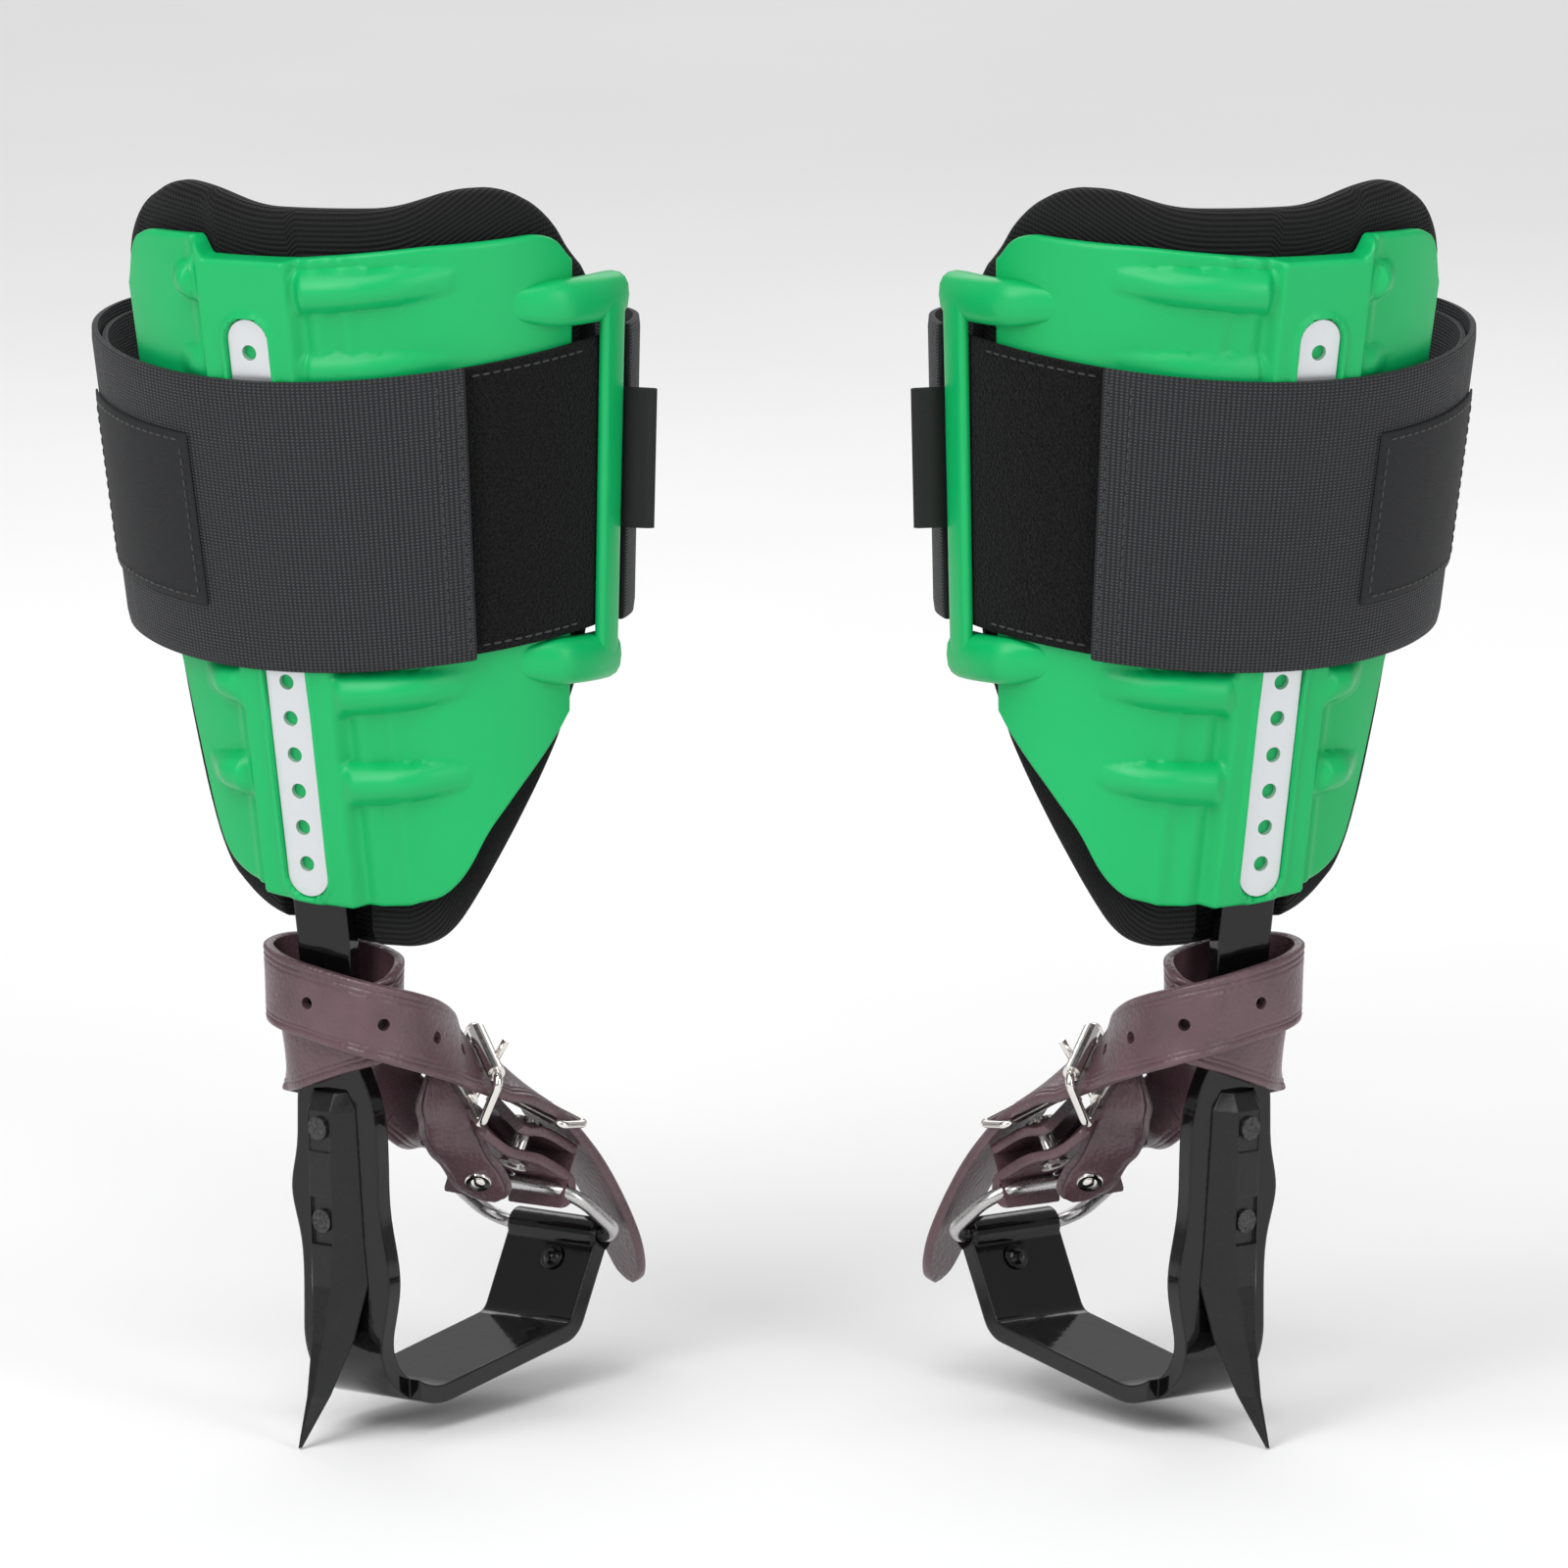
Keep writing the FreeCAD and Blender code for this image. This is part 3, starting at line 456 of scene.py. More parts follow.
def suede():
    look = Look("suede", (0.12, 0.085, 0.095), 0.75, Sheen_Weight=0.25)
    look.paint(look.noise(500, 6), (0.09, 0.055, 0.066), (0.17, 0.115, 0.13))
    look.bump(look.noise(2200, 5), 0.0003, 0.6)
    return look.material


LOOKS = {make.__name__: make() for make in (
    green_plastic, black_steel, spike_steel, screw_steel, strip_metal, nickel, ring_steel, pad_knit,
    webbing, loop_fabric, hook_tape, patch_cloth, tag_cloth, thread, brown_strap, suede)}

# the hardware keeps the frame's own shapes
KEPT = {
    "leg_iron": "black_steel",
    "gaff": "spike_steel",
    "gaff_screws": "screw_steel",
    "eye_rivet": "black_steel",
    "adjuster_strip": "strip_metal",
    "backing_plate": "screw_steel",
    "cuff_bolts": "screw_steel",
    "cuff_nuts": "screw_steel",
    "ankle_ring": "ring_steel",
    "keeper_loop": "nickel",
    "buckle_frame": "nickel",
    "buckle_roller": "nickel",
    "buckle_tongue": "nickel",
    "strap_rivets": "nickel",
}


def dress_hardware(side):
    """Gives the frame's own metal pieces their looks."""
    for node, look in KEPT.items():
        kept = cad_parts[f"{side}_{node}"]
        kept.data.materials.clear()
        kept.data.materials.append(LOOKS[look])


# the green shell

SHELL_ROWS = 176  # rows of faces up the shell
EDGE = 1.2  # rounding of the shell's upper and lower edges


def rib_lift(angle, height):
    """How far the moulded ribs raise the shell's face here."""
    lift = 0.0
    for start, end, level in RIBS:
        length = abs(end - start)
        along = (angle - start) / (end - start)
        if not 0 < along < 1.02:
            continue
        half = 7.6 * (1 - 0.5 * along ** 2)
        side = (height - level - 2.5 * along * (length / 38)) / half
        if abs(side) >= 1:
            continue
        rise = smooth(0, 3.0 / length, along)
        fade = 1 - smooth(0.35, 1.0, along)
        crown = (1 - side ** 2) ** 0.6
        tall = RIB_UNDER_STRAP if 300 < level < 370 else RIB_LIFT
        lift = max(lift, tall * crown * rise * (0.1 + 0.9 * fade) * (1 - smooth(0.9, 1, along)))
    return lift


def channel_off(across, along):
    """The channel's height above the bar's face, and how fully it takes over from the plain shell here."""
    edge = smooth(-19.0, -16.2, across) * (1 - smooth(15.5, 19.5, across))
    low = FIRST_HOLE - 4
    high = FIRST_HOLE + (STRIP_HOLES - 1) * PITCH + 4
    nearest = min(max(along, low), high)
    radius = math.hypot(across, along - nearest)
    half = STRIP_WIDTH / 2
    rim = 0.9 * smooth(half + 3.2, half + 2.0, radius) if radius < half + 3.2 else 0.0
    off = PLATEAU + 1.6 + rim
    if radius < half + 0.9:
        off = STRIP_BASE - 0.1 + (off - STRIP_BASE) * smooth(half + 0.1, half + 0.7, radius)
    return off, edge


def shell_face(angle, height):
    """The outer face of the shell, with its channel, side ridges and ribs."""
    point = around(angle, height)
    across, along, off = bar_place(point)
    target, edge = channel_off(across, along)
    point = point + OFF_BAR * ((target - off) * edge)
    ridge = 1.5 * math.exp(-((across - 23.5) / 3.2) ** 2) + 1.1 * math.exp(-((across - 33) / 2.6) ** 2)
    ridge += 1.2 * math.exp(-((across + 20.5) / 1.6) ** 2)
    out = V((point.x - CALF.x, point.y - CALF.y, 0)).normalized()
    return point + out * (max(ridge, rib_lift(angle, height)) * (1 - edge))


def shell_columns():
    """Angles of the shell's columns, closer together over the channel and its edges."""
    middle = [math.degrees(math.asin(across / CUFF_WIDE)) for across in spread(-20, 38, 0.55)]
    return spread(-38, middle[0] - 0.7, 0.7) + middle + spread(middle[-1] + 0.8, 78, 0.8)


def shell_loop(angle, squeeze=1.0):
    """A section of the shell from its lower edge to its upper one. Below 1, squeeze thins it."""
    low = soft_value(SHELL_LOW, angle)
    high = soft_value(SHELL_HIGH, angle, 0.6 if abs(angle) < 14 else 2)
    heights = [low + EDGE + (high - low - 2 * EDGE) * i / SHELL_ROWS for i in range(SHELL_ROWS + 1)]
    outer = [shell_face(angle, h) for h in heights]
    inner = [around(angle, h, -SHELL) for h in heights[::8]]
    out = V((outer[0].x - CALF.x, outer[0].y - CALF.y, 0)).normalized()
    top = [outer[-1] - out * 0.5 + Z * 0.8, outer[-1] - out * 1.6 + Z * 1.2, inner[-1] + Z * 1.0]
    low_edge = [inner[0] - Z * 1.0, outer[0] - out * 1.6 - Z * 1.2, outer[0] - out * 0.5 - Z * 0.8]
    loop = outer + top + inner[::-1] + low_edge
    if squeeze < 1:
        core = [around(angle, p.z, -SHELL / 2) for p in loop]
        loop = [c + (p - c) * squeeze for p, c in zip(loop, core)]
    return loop


def build_shell(side):
    loops = [shell_loop(-38.8, 0.3), shell_loop(-38.4, 0.8)]
    loops += [shell_loop(angle) for angle in shell_columns()]
    loops += [shell_loop(78.4, 0.8), shell_loop(78.8, 0.3)]
    shell = outward(loops_piece("shell", side, loops, 50))
    finish_piece(shell, side, "cuff", LOOKS["green_plastic"], ["cuff_shell"])


ARM_START = 56  # angle at which a window arm rises from the shell
ARM_END = 98.5
POST = 89.5  # angle of the middle of the window's post
UPPER_ARM = 374.5
LOWER_ARM = 253.0


def arm_loop(angle, level):
    """A section of a window arm: flat behind, round in front, tapering back into the shell."""
    grown = smooth(ARM_START, 74, angle)
    tip = 1 - smooth(94, ARM_END, angle) ** 2 * 0.75
    half = (4.5 + 3.6 * grown) * tip
    thick = (1.5 + 7.5 * grown) * tip
    back = -SHELL + 0.2
    middle = level - 0.1 * (angle - 75)
    loop = []
    for step in range(16):
        turn = 2 * math.pi * step / 16
        off = math.cos(turn)
        rise = math.sin(turn)
        depth = back + thick * 0.45 + thick * 0.75 * math.copysign(abs(off) ** 0.8, off)
        loop.append(around(angle, middle + half * math.copysign(abs(rise) ** 0.8, rise), depth))
    return loop


def build_window(side):
    """The two arms off the shell and the upright post that joins them."""
    for name, level in (("upper_arm", UPPER_ARM), ("lower_arm", LOWER_ARM)):
        loops = [arm_loop(angle, level) for angle in spread(ARM_START, ARM_END, 1.2)]
        arm = outward(loops_piece(name, side, loops))
        finish_piece(arm, side, "cuff", LOOKS["green_plastic"])
    loops = []
    for height in spread(LOWER_ARM - 1, UPPER_ARM - 0.5, 5):
        loop = []
        for step in range(20):
            turn = 2 * math.pi * step / 20
            c, s = math.cos(turn), math.sin(turn)
            angle = POST + 4.6 * math.copysign(abs(c) ** 0.6, c)
            loop.append(around(angle, height, 5.3 + 2.2 * math.copysign(abs(s) ** 0.6, s)))
        loops.append(loop)
    post = outward(loops_piece("window_post", side, loops))
    finish_piece(post, side, "cuff", LOOKS["green_plastic"])


# the padded liner

def pad_loop(angle, squeeze=1.0):
    """A section of the pad: rounded edges, fuller where it is free of the shell, hollowed for the bar."""
    low = soft_value(PAD_LOW, angle, 4)
    high = soft_value(PAD_HIGH, angle, 4)
    middle, half = (low + high) / 2, (high - low) / 2 - PAD * (1 - squeeze) / 2
    loop = []
    count = 120
    for step in range(count):
        turn = 2 * math.pi * step / count
        c, s = math.cos(turn), math.sin(turn)
        height = middle + half * math.copysign(abs(s) ** 0.5, s)
        from_edge = half - abs(height - middle)
        full = math.sqrt(max(0.0, 1 - (1 - min(from_edge / 6.0, 1)) ** 2))
        side_off = math.copysign(1, c) * full * PAD / 2 * squeeze
        above = height - soft_value(SHELL_HIGH, angle, 2)
        below = soft_value(SHELL_LOW, angle) - height
        free = smooth(2, 12, above) + smooth(2, 12, below)
        swell = 1.0 * free if c > 0 else 0.0
        point = around(angle, height, -PAD_GAP - PAD / 2 + side_off + swell)
        across, along, off = bar_place(point)
        groove = (1 - smooth(13, 17, abs(across))) * (1 - smooth(BAR_TOP, BAR_TOP + 9, along))
        depth = -IRON - 7.6
        if c > 0 and off > depth:
            point = point + OFF_BAR * ((depth - off) * groove)
        loop.append(point)
    return loop


def build_liner(side):
    """The knitted pad, closed at both ends by smaller and smaller sections."""
    first, last = PAD_LOW[0][0], PAD_LOW[-1][0]
    ends = ((4.2, 0.25), (3.9, 0.5), (3.1, 0.75), (1.8, 0.92))
    loops = [pad_loop(first - step, squeeze) for step, squeeze in ends]
    loops += [pad_loop(angle) for angle in spread(first, last, 1.1)]
    loops += [pad_loop(last + step, squeeze) for step, squeeze in reversed(ends)]
    liner = outward(loops_piece("calf_liner", side, loops, 80))
    finish_piece(liner, side, "cuff", LOOKS["pad_knit"], ["calf_pad"])


# the calf strap

FRONT_PART = -50.0  # angle where the strap's free end begins
PEEL = -8.0  # angle of a line across the strap; two points on it are worked out and not used
STRAP_END = 46.0  # angle where it ends


def strap_middle(angle):
    """Height of the middle of the webbing, which is lowest in front and behind."""
    return 305 + 6.5 * math.sin(math.radians(angle)) ** 2


def strap_loop(angle, off, height, thick, squeeze=1.0):
    """A section of webbing: a flat face between two rounded selvedges."""
    low = strap_middle(angle) - height / 2
    rows = 26
    rounded = off + thick * 0.825
    outer = [around(angle, low + height * i / rows, off + thick) for i in range(rows + 1)]
    inner = [around(angle, low + height * i / rows, off) for i in range(rows + 1)]
    outer[0] = around(angle, low + 0.3, rounded)
    outer[-1] = around(angle, low + height - 0.3, rounded)
    middle = off + thick / 2
    loop = outer + [around(angle, low + height, middle)] + inner[::-1] + [around(angle, low, middle)]
    if squeeze < 1:
        core = [around(angle, p.z, middle) for p in loop]
        loop = [c + (p - c) * squeeze for p, c in zip(loop, core)]
    return loop


def strap_piece(name, side, start, end, off, height, thick, open_start=False, open_end=False):
    """Webbing round the cuff from one angle to another. An open end meets another piece face to face."""
    if callable(off):
        at = off
    else:
        def at(angle):
            return off
    loops = [strap_loop(angle, at(angle), height, thick) for angle in spread(start, end, 1.2)]
    if not open_start:
        loops.insert(0, strap_loop(start - 0.4, at(start), height - 1, thick, 0.35))
    if not open_end:
        loops.append(strap_loop(end + 0.4, at(end), height - 1, thick, 0.35))
    return outward(loops_piece(name, side, loops, 60))


def main_off(angle):
    """How far off the shell the calf strap's inner face runs: it clears the lining and the front ribs."""
    steps = ((-259.5, 3.4), (-200, 5.5), (-90, 5.5), (-45, 4.6), (-20, FRONT_OFF), (0, FRONT_OFF))
    return curve_value(steps, angle)


def stitch_row(points, normals, stitch=2.6, gap=1.1, radius=0.36):
    """Sunk capsules of thread along a line of points, as (points, faces)."""
    lengths = [0.0]
    for a, b in zip(points, points[1:]):
        lengths.append(lengths[-1] + (b - a).length)

    def at(distance):
        for i in range(1, len(points)):
            if distance <= lengths[i]:
                t = (distance - lengths[i - 1]) / (lengths[i] - lengths[i - 1])
                return points[i - 1].lerp(points[i], t), normals[i - 1].lerp(normals[i], t)
        return points[-1], normals[-1]

    verts, faces = [], []
    start = gap
    while start + stitch < lengths[-1]:
        (a, normal), (b, _) = at(start), at(start + stitch)
        along = (b - a).normalized()
        side = along.cross(normal).normalized()
        base = len(verts)
        for share, size in ((0, 0.45), (0.2, 1), (0.8, 1), (1, 0.45)):
            for step in range(6):
                turn = math.pi / 3 * step
                ring = side * math.cos(turn) + normal * math.sin(turn)
                verts.append(a.lerp(b, share) + ring * radius * size)
        for k in range(3):
            for step in range(6):
                here, there = base + k * 6 + step, base + k * 6 + (step + 1) % 6
                faces.append((here, there, there + 6, here + 6))
        faces.append(tuple(range(base + 5, base - 1, -1)))
        faces.append(tuple(range(base + 18, base + 24)))
        start += stitch + gap
    return verts, faces


def stitches(name, side, lines, body, look="thread"):
    """One piece that holds the stitches of several lines, each a list of (point, normal)."""
    verts, faces = [], []
    for line in lines:
        more, their = stitch_row([p for p, _ in line], [n for _, n in line])
        faces += [tuple(i + len(verts) for i in face) for face in their]
        verts += more
    piece = mesh_piece(name, side, verts, faces, [(p.x / 1000, p.z / 1000) for p in verts])
    return finish_piece(piece, side, body, LOOKS[look])


def on_strap(angle, height, off):
    """A stitch's place on the strap, and the outward direction there."""
    point = around(angle, height, off)
    return point, (around(angle, height, off + 1) - point).normalized()


def stitched_box(angles, low, high, off):
    """Four stitched lines round a panel between two angles and two heights above the strap's middle."""
    first, last = angles
    sweep = spread(first, last, 2)
    rise = spread(low, high, 5)
    lines = [[on_strap(a, strap_middle(a) + level, off(a)) for a in sweep] for level in (low, high)]
    lines += [[on_strap(a, strap_middle(a) + z, off(a)) for z in rise] for a in (first, last)]
    return lines


def build_calf_strap(side):
    """The webbing round the calf, its free end, and the layers that it closes on."""
    back = strap_piece("calf_strap", side, -259.5, FRONT_PART, main_off, WEB_HEIGHT, WEB, open_end=True)
    finish_piece(back, side, "cuff", LOOKS["webbing"], ["calf_strap"])
    front = strap_piece("calf_strap_free_end", side, FRONT_PART, STRAP_END, main_off, WEB_HEIGHT, WEB,
                        open_start=True)
    finish_piece(front, side, None, LOOKS["webbing"], ["calf_strap_end"])
    start, end = (to_row(around(PEEL + step, 305, FRONT_OFF), side) for step in (-5, 5))
    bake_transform(front)
    lining = strap_piece("strap_lining", side, -200, -52, 2.0, WEB_HEIGHT - 6, 2.2)
    finish_piece(lining, side, "cuff", LOOKS["webbing"], ["strap_lining"])
    panel = strap_piece("loop_panel", side, 13.5, 99, 0.7, WEB_HEIGHT - 2, 2.3)
    finish_piece(panel, side, "cuff", LOOKS["loop_fabric"], ["loop_panel"])
    tape = strap_piece("hook_tape", side, 16, STRAP_END - 1, 3.6, WEB_HEIGHT - 8, 1.1)
    finish_piece(tape, side, "strap_end", LOOKS["hook_tape"], ["hook_tape"])
    outer = FRONT_OFF + WEB + 0.05
    ends = []
    for angle in (STRAP_END - 1.2, STRAP_END - 6):
        ends.append([on_strap(angle, strap_middle(angle) + z, outer) for z in spread(-47, 47, 5)])
    stitches("strap_end_stitches", side, ends, "strap_end")
    edges = []
    for level in (-46, 46):
        sweep = spread(STRAP_END + 2, 80, 2)
        edges.append([on_strap(a, strap_middle(a) + level, 3.05) for a in sweep])
    stitches("loop_panel_stitches", side, edges, "cuff")


def patch_off(angle):
    """How far off the shell the patch lies."""
    return curve_value(((-90, 8.2), (-45, 7.3), (-17, 7.5)), angle)


def build_patch(side):
    """The blank patch sewn flat on the calf strap."""
    patch = strap_piece("strap_patch", side, -62, -17, patch_off, 59, 0.9)
    finish_piece(patch, side, "cuff", LOOKS["patch_cloth"], ["strap_patch"])
    lines = stitched_box((-60, -18.8), -27, 27, lambda a: patch_off(a) + 0.95)
    stitches("patch_stitches", side, lines, "cuff")


def build_tag(side):
    """A woven tag folded double, blank, standing out behind the window post."""
    loops = []
    out_and_back = [(off, -1) for off in spread(3.4, 16.6, 2.2)] + [(17.4, 0)]
    out_and_back += [(off, 1) for off in spread(16.6, 3.4, 2.2)]
    for height in spread(294, 341, 4):
        outer, inner = [], []
        for off, layer in out_and_back:
            bulge = 0.45 + 0.25 * math.sin(math.pi * (off - 3.4) / 14)
            outer.append(around(95.6 + layer * (bulge + 0.14), height, off + (0.5 if layer == 0 else 0)))
            inner.append(around(95.6 + layer * (bulge - 0.14), height, off))
        loops.append(outer + inner[::-1])
    tag = outward(loops_piece("strap_tag", side, loops, 70))
    finish_piece(tag, side, "cuff", LOOKS["tag_cloth"], ["strap_tag"])


# the leather straps

ROLLER = V((53.5, -22.5, 113.7))
ROLLER_LINE = V((0.51, 0.757, 0.406)).normalized()
BUCKLE_ARM = V((-0.016, 0.48, -0.877))
BUCKLE_ARM = (BUCKLE_ARM - ROLLER_LINE * BUCKLE_ARM.dot(ROLLER_LINE)).normalized()
BUCKLE_FACE = BUCKLE_ARM.cross(ROLLER_LINE)
TONGUE_BAR = ROLLER + BUCKLE_ARM * 18.7
HOOK = math.radians(60)
HOOK_END = V((IRON / 2, 0, -1.2)) + V((93.5, 0, 93.5 * math.tan(FOOT_SLOPE))) \
    + V((math.cos(HOOK), 0, math.sin(HOOK))) * 33.5
RING_TOP = HOOK_END + V((-0.77, 0, 0.64)) * 34
RING_TURN = 2.4 + 0.5 + LEATHER / 2
RING_NORMAL = V((0.57, 0, 0.82)).normalized()
RING_SIDE = 13.6
FRONT_END = ROLLER + BUCKLE_ARM * 6.4

# stations of each strap: its middle, and the direction across it
ANKLE_PATH = [
    ((38, 4.5, 97), (0.45, -0.35, 0.82)),
    ((24, 3.5, 107), (0.25, -0.1, 0.96)),
    ((14.5, 9.5, 113.5), (0, 0, 1)),
    ((4.5, 19, 118.5), (0, 0, 1)),
    ((-3.8, 11.5, 122), (0, 0.2, 1)),
    ((-4.0, -6, 128.5), (0, 0.3, 1)),
    ((0.5, -19.3, 133), (0.1, 0.3, 1)),
    ((10, -22, 137.5), (-0.2, 0, 1)),
    ((18, -13, 141.5), (0, -0.2, 1)),
    ((18, 6, 145), (0, -0.1, 1)),
    ((9, 21.5, 146), (0, 0, 1)),
    ((-2, 22.5, 145), (0, 0, 1)),
    ((-9.0, 12, 143), (0, -0.1, 1)),
    ((-9.8, -4, 140.5), (0, -0.15, 1)),
    ((-7, -21, 137), (0.1, -0.2, 1)),
    ((3.5, -29, 132.5), (0.25, -0.1, 1)),
    ((17, -30, 127), (0.35, 0.1, 0.95)),
    ((31, -27.5, 120.5), (0.45, 0.4, 0.8)),
    ((43, -22.4, 114), (0.52, 0.65, 0.55)),
    (FRONT_END, ROLLER_LINE),
]
TAIL_PATH = [
    (FRONT_END, ROLLER_LINE),
    ((60, -19.8, 104.6), ROLLER_LINE),
    ((69, -20, 100), (0.45, 0.85, 0.2)),
    ((83, -18, 90), (0.35, 0.9, 0)),
    ((97, -16, 76), (0.3, 0.92, -0.1)),
    ((111, -15.5, 60), (0.3, 0.93, 0)),
    ((123, -15, 41), (0.3, 0.93, 0.1)),
    ((132, -14, 19), (0.3, 0.93, 0.1)),
]
TAIL_PATH[1:] = [(V(point) + BUCKLE_FACE * 0.9, across) for point, across in TAIL_PATH[1:]]
ANCHOR_LEAD = [
    ((38, 4.5, 97), (0.45, -0.35, 0.82)),
    ((52, 7, 88), (0.38, -0.55, 0.74)),
    ((64, 10, 80), (0.2, -0.85, 0.45)),
    ((76, 13, 73.5), (0.05, -1, 0.1)),
    (RING_TOP + V((0, RING_SIDE, 0)) + RING_NORMAL * RING_TURN, (0, -1, 0)),
]
CHAPE_LEAD = [
    (TONGUE_BAR + BUCKLE_FACE * 3.0 + BUCKLE_ARM * 5, -ROLLER_LINE),
    ((65.5, -12.5, 80.5), (-0.3, -0.9, -0.2)),
    ((77, -13, 72.5), (-0.05, -1, 0)),
    (RING_TOP + V((0, -RING_SIDE, 0)) + RING_NORMAL * RING_TURN, (0, -1, 0)),
]
GUARD_PATH = [
    ((31, -15, 109), (0.5, 0.2, 0.84)),
    ((41, -12, 95.5), (0.35, -0.45, 0.8)),
    ((52, -8, 82), (0.2, -0.7, 0.65)),
    ((63, -7, 69), (0.1, -0.85, 0.5)),
    ((73, -6, 58), (0.1, -0.9, 0.4)),
]
HOLES = (12.9, 14.5, 16.15, 17.4)  # places of the punched holes along ANKLE_PATH's stations
GUARD_FACES = V((-0.75, -0.63, 0.21))  # the direction that the guard's grained face turns to


def spline_at(values, place):
    """The value at a fractional place along a smooth curve through the values."""
    last = len(values) - 1
    i = min(int(place), last - 1)
    t = place - i
    a, b = values[max(i - 1, 0)], values[i]
    c, d = values[i + 1], values[min(i + 2, last)]
    reached = 3 * t**2 - 2 * t**3
    bends = (c - a) * 0.5 * (t**3 - 2 * t**2 + t) + (d - b) * 0.5 * (t**3 - t**2)
    return b * (1 - reached) + c * reached + bends


def strap_frames(stations, per_station=12):
    """Points along a strap, each with its directions across, off and along it."""
    points = [V(p) for p, _ in stations]
    widths = [V(w) for _, w in stations]
    frames = []
    for i in range((len(points) - 1) * per_station + 1):
        place = i / per_station
        before = spline_at(points, max(place - 0.02, 0))
        after = spline_at(points, min(place + 0.02, len(points) - 1))
        along = (after - before).normalized()
        across = spline_at(widths, place)
        across = (across - along * across.dot(along)).normalized()
        frames.append((spline_at(points, place), across, along.cross(across), along))
    return frames


def strap_profile(width, thick, grooves=True):
    """A strap's section as (across, off) pairs: rounded edges, and two grooves near each edge."""
    half, face = width / 2, thick / 2
    top = []
    for i in range(57):
        across = -half + 0.5 + (width - 1.0) * i / 56
        from_edge = half - abs(across)
        off = face - 0.45 * math.exp(-from_edge / 0.7)
        if grooves:
            off -= 0.42 * math.exp(-((from_edge - 2.6) / 0.42) ** 2)
            off -= 0.36 * math.exp(-((from_edge - 4.3) / 0.42) ** 2)
        top.append((across, off))
    edge = [(half - 0.1, face * 0.5), (half, 0), (half - 0.1, -face * 0.5)]
    under = [(half - 0.6, -face), (0, -face), (-half + 0.6, -face)]
    return top + edge + under + [(-a, off) for a, off in reversed(edge)]


def ribbon(name, side, frames, width=LEATHER_WIDTH, thick=LEATHER, tip=0.0, tip_start=0.0,
           grooves=True, wave=0.0):
    """A strap along frames. tip is the length over which its far end narrows to a rounded point."""
    profile = strap_profile(width, thick, grooves)
    lengths = [0.0]
    for a, b in zip(frames, frames[1:]):
        lengths.append(lengths[-1] + (b[0] - a[0]).length)
    loops = []
    for (point, across, normal, _), run in zip(frames, lengths):
        share = 1.0
        if tip:
            share = min(share, math.sqrt(max(0.02, 1 - max(0, 1 - (lengths[-1] - run) / tip) ** 2.2)))
        if tip_start:
            share = min(share, math.sqrt(max(0.02, 1 - max(0, 1 - run / tip_start) ** 2.2)))
        loop = []
        for a, off in profile:
            ripple = wave * math.sin(run * 0.32) * (a / width)
            loop.append(point + across * (a * share) + normal * (off * min(1, 0.55 + share) + ripple))
        loops.append(loop)
    return outward(loops_piece(name, side, loops, 55))


def folded_frames(lead, wire, radius, back_share):
    """A strap's frames along lead, round the ring's wire and back under itself."""
    frames = strap_frames(lead)
    _, across, normal, along = frames[-1]
    turned = []
    for step in range(1, 17):
        turn = math.pi * step / 16
        out = normal * math.cos(turn) + along * math.sin(turn)
        ahead = along * math.cos(turn) - normal * math.sin(turn)
        turned.append((wire + out * radius, across, out, ahead))
    back = []
    for point, there, up, on in list(reversed(frames))[1:int(len(frames) * back_share)]:
        back.append((point - up * (2 * radius), there, -up, -on))
    return frames + turned + back


def punch(piece, frames, side, places, per_station=12, radius=2.1):
    """Round holes through a strap."""
    cutter_mesh = bpy.data.meshes.new("punch")
    work = bmesh.new()
    for place in places:
        point, across, normal, along = frames[int(place * per_station)]
        rings = []
        for depth in (-5, 5):
            ring = []
            for step in range(28):
                turn = 2 * math.pi * step / 28
                offset = across * math.cos(turn) + along * math.sin(turn)
                ring.append(work.verts.new(to_row(point + offset * radius + normal * depth, side)))
            rings.append(ring)
        for step in range(28):
            ahead = (step + 1) % 28
            work.faces.new((rings[0][step], rings[0][ahead], rings[1][ahead], rings[1][step]))
        work.faces.new(rings[0][::-1])
        work.faces.new(rings[1])
    bmesh.ops.recalc_face_normals(work, faces=work.faces)
    work.to_mesh(cutter_mesh)
    work.free()
    cutter = bpy.data.objects.new("punch", cutter_mesh)
    bpy.context.scene.collection.objects.link(cutter)
    cut = piece.modifiers.new("punch", "BOOLEAN")
    cut.operation = "DIFFERENCE"
    cut.solver = "EXACT"
    cut.object = cutter
    bpy.context.view_layer.update()
    evaluated = piece.evaluated_get(bpy.context.evaluated_depsgraph_get())
    mesh = bpy.data.meshes.new_from_object(evaluated)
    piece.modifiers.clear()
    piece.data = mesh
    bpy.data.objects.remove(cutter)
    piece.data.set_sharp_from_angle(angle=math.radians(50))


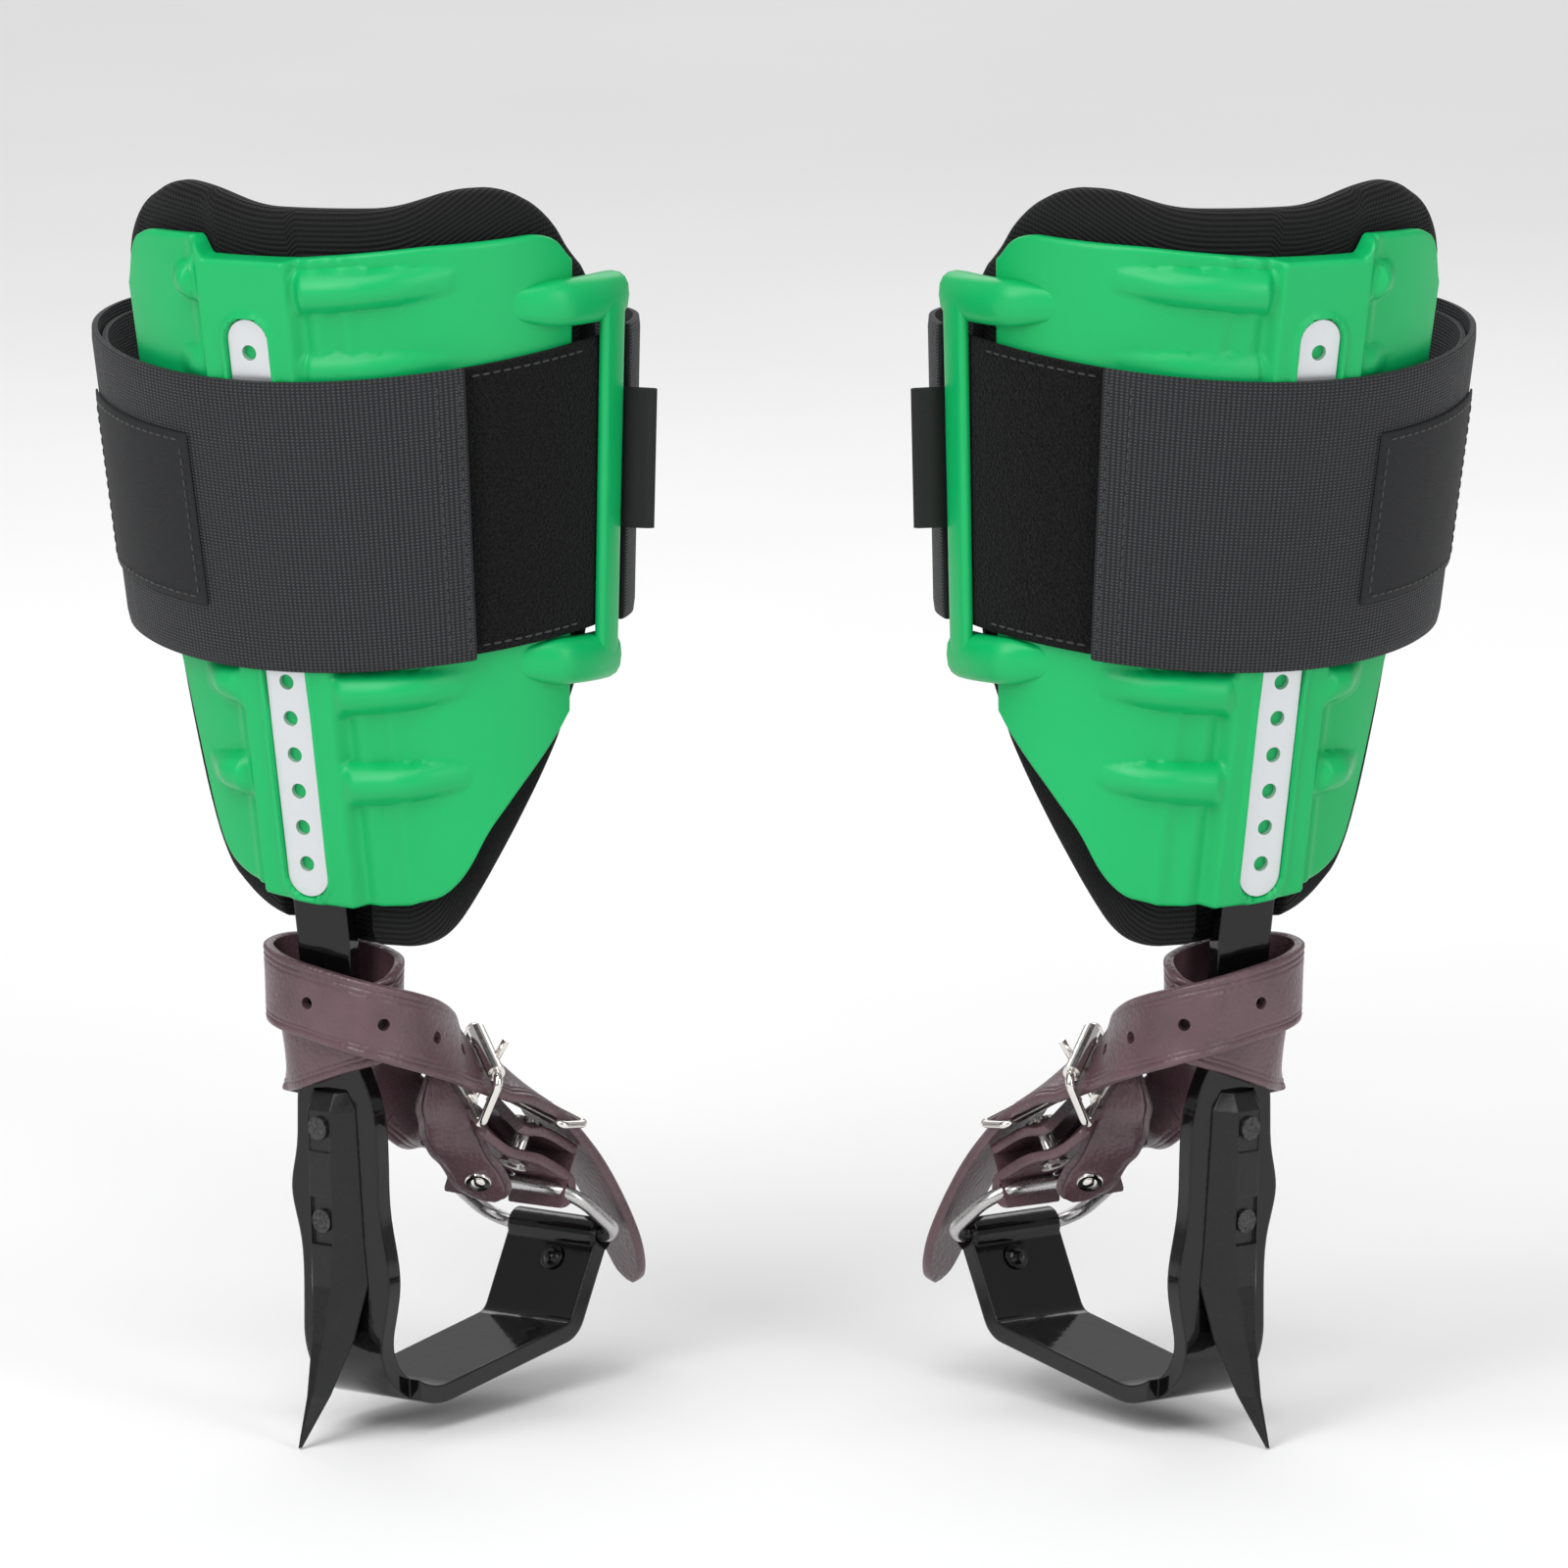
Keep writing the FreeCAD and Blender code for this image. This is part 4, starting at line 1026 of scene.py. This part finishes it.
def build_ankle_straps(side):
    """The strap wrapped round the iron, its tail, and the two short straps folded round the ring."""
    frames = strap_frames(ANKLE_PATH)
    strap = ribbon("ankle_strap", side, frames)
    punch(strap, frames, side, HOLES)
    nodes = ["ankle_strap", "ankle_strap_front"]
    finish_piece(strap, side, None, LOOKS["brown_strap"], nodes)
    start, end = to_row((16, -10, 115), side), to_row((38, -10, 115), side)
    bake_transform(strap)
    tail = ribbon("strap_tail", side, strap_frames(TAIL_PATH), tip=26)
    finish_piece(tail, side, None, LOOKS["brown_strap"], ["strap_tail"])
    start, end = to_row(TAIL_PATH[0][0], side), to_row(TAIL_PATH[2][0], side)
    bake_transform(tail)
    far_wire = RING_TOP + V((0, RING_SIDE, 0))
    near_wire = RING_TOP - V((0, RING_SIDE, 0))
    anchor = ribbon("strap_anchor", side, folded_frames(ANCHOR_LEAD, far_wire, RING_TURN, 0.72), 24)
    finish_piece(anchor, side, "ring", LOOKS["brown_strap"], ["strap_anchor"])
    chape_frames = folded_frames(CHAPE_LEAD, near_wire, RING_TURN, 0.8)
    chape = ribbon("buckle_chape", side, chape_frames, 24, tip_start=3)
    finish_piece(chape, side, "ring", LOOKS["brown_strap"], ["buckle_chape"])
    build_guard(side)


def domed_rivet(name, side, centre, up, body, radius=4.6):
    """A round rivet head: a flat flange, a rolled rim and a low dome."""
    first = up.orthogonal().normalized()
    second = up.cross(first)
    outline = ((1, -0.4), (1, 0.3), (0.9, 0.75), (0.66, 0.6),
               (0.52, 0.45), (0.45, 0.9), (0.25, 1.3), (0.06, 1.4))
    turns = [2 * math.pi * step / 28 for step in range(28)]
    ways = [first * math.cos(turn) + second * math.sin(turn) for turn in turns]
    loops = [[centre + way * (radius * share) + up * rise for way in ways] for share, rise in outline]
    head = outward(loops_piece(name, side, loops, 50))
    return finish_piece(head, side, body, LOOKS["nickel"])


def build_guard(side):
    """The loose flap behind the buckle: a grained face on a wider suede edge, riveted on."""
    frames = strap_frames(GUARD_PATH)
    if frames[30][2].dot(GUARD_FACES) < 0:
        frames = [(point, -across, -normal, along) for point, across, normal, along in frames]
    face = [(point + normal * 1.3, across, normal, along) for point, across, normal, along in frames]
    guard = ribbon("buckle_guard", side, face, 15, 1.3, tip=9, tip_start=10, grooves=False, wave=1.2)
    finish_piece(guard, side, "ring", LOOKS["brown_strap"], ["buckle_guard"])
    edge = ribbon("guard_edge", side, frames, 19, 1.4, tip=7, tip_start=10, grooves=False, wave=1.9)
    finish_piece(edge, side, "ring", LOOKS["suede"])
    point, _, normal, _ = frames[38]
    domed_rivet("guard_rivet", side, point + normal * 2.1, normal, "ring")


# the room

def floor():
    """A plain pale floor, wide enough to fill the view."""
    level = CAD_BOX[0][2] - 0.0005
    points = [(MIDDLE + x, y, level) for x, y in ((-6, -4), (6, -4), (6, 8), (-6, 8))]
    mesh = bpy.data.meshes.new("floor")
    mesh.from_pydata(points, [], [(0, 1, 2, 3)])
    mesh.shade_smooth()
    stage = bpy.data.objects.new("floor", mesh)
    bpy.context.scene.collection.objects.link(stage)
    look = Look("floor", (0.86, 0.86, 0.86), 0.8)
    look.paint(look.noise(3), (0.85, 0.85, 0.85), (0.88, 0.88, 0.88))
    mesh.materials.append(look.material)


def area_light(name, place, target, size, power):
    """A soft rectangular lamp that faces target."""
    light = bpy.data.lights.new(name, "AREA")
    light.shape = "RECTANGLE"
    light.size, light.size_y = size
    light.energy = power
    lamp = bpy.data.objects.new(name, light)
    lamp.location = place
    lamp.rotation_euler = (V(target) - V(place)).to_track_quat("-Z", "Y").to_euler()
    bpy.context.scene.collection.objects.link(lamp)


def lights():
    """An even pale surround, a wide sun and three soft lamps."""
    bpy.context.scene.view_settings.view_transform = "Standard"
    world = bpy.data.worlds.new("studio")
    bpy.context.scene.world = world
    world.use_nodes = True
    world.node_tree.nodes["Background"].inputs["Color"].default_value = (1, 1, 1, 1)
    world.node_tree.nodes["Background"].inputs["Strength"].default_value = 0.42
    middle = (MIDDLE, 0, 0.2)
    sun = bpy.data.lights.new("sun", "SUN")
    sun.energy = 1.5
    sun.angle = math.radians(50)
    lamp = bpy.data.objects.new("sun", sun)
    lamp.rotation_euler = V((0.25, 0.45, -1)).to_track_quat("-Z", "Y").to_euler()
    bpy.context.scene.collection.objects.link(lamp)
    area_light("key", (MIDDLE - 1.0, -1.5, 1.2), middle, (0.7, 1.2), 14)
    area_light("fill", (MIDDLE + 1.2, -1.4, 0.9), middle, (0.5, 1.4), 9)
    area_light("back", (MIDDLE, 1.5, 1.2), middle, (2.0, 0.6), 8)


def camera():
    """A long lens at the photograph's low angle, so that the view is nearly parallel."""
    elevation = math.radians(12)
    distance = 8.0
    view_width = 0.5183
    data = bpy.data.cameras.new("camera")
    data.sensor_width = 36
    data.lens = data.sensor_width * distance / view_width
    data.clip_end = 50
    eye = bpy.data.objects.new("camera", data)
    target = V((MIDDLE, -0.0442, 0.2031))
    eye.location = target + V((0, -math.cos(elevation), math.sin(elevation))) * distance
    eye.rotation_euler = (target - eye.location).to_track_quat("-Z", "Y").to_euler()
    bpy.context.scene.collection.objects.link(eye)
    bpy.context.scene.camera = eye


for side in ("left", "right"):
    dress_hardware(side)
    build_shell(side)
    build_window(side)
    build_liner(side)
    build_calf_strap(side)
    build_patch(side)
    build_tag(side)
    build_ankle_straps(side)
floor()
lights()
camera()
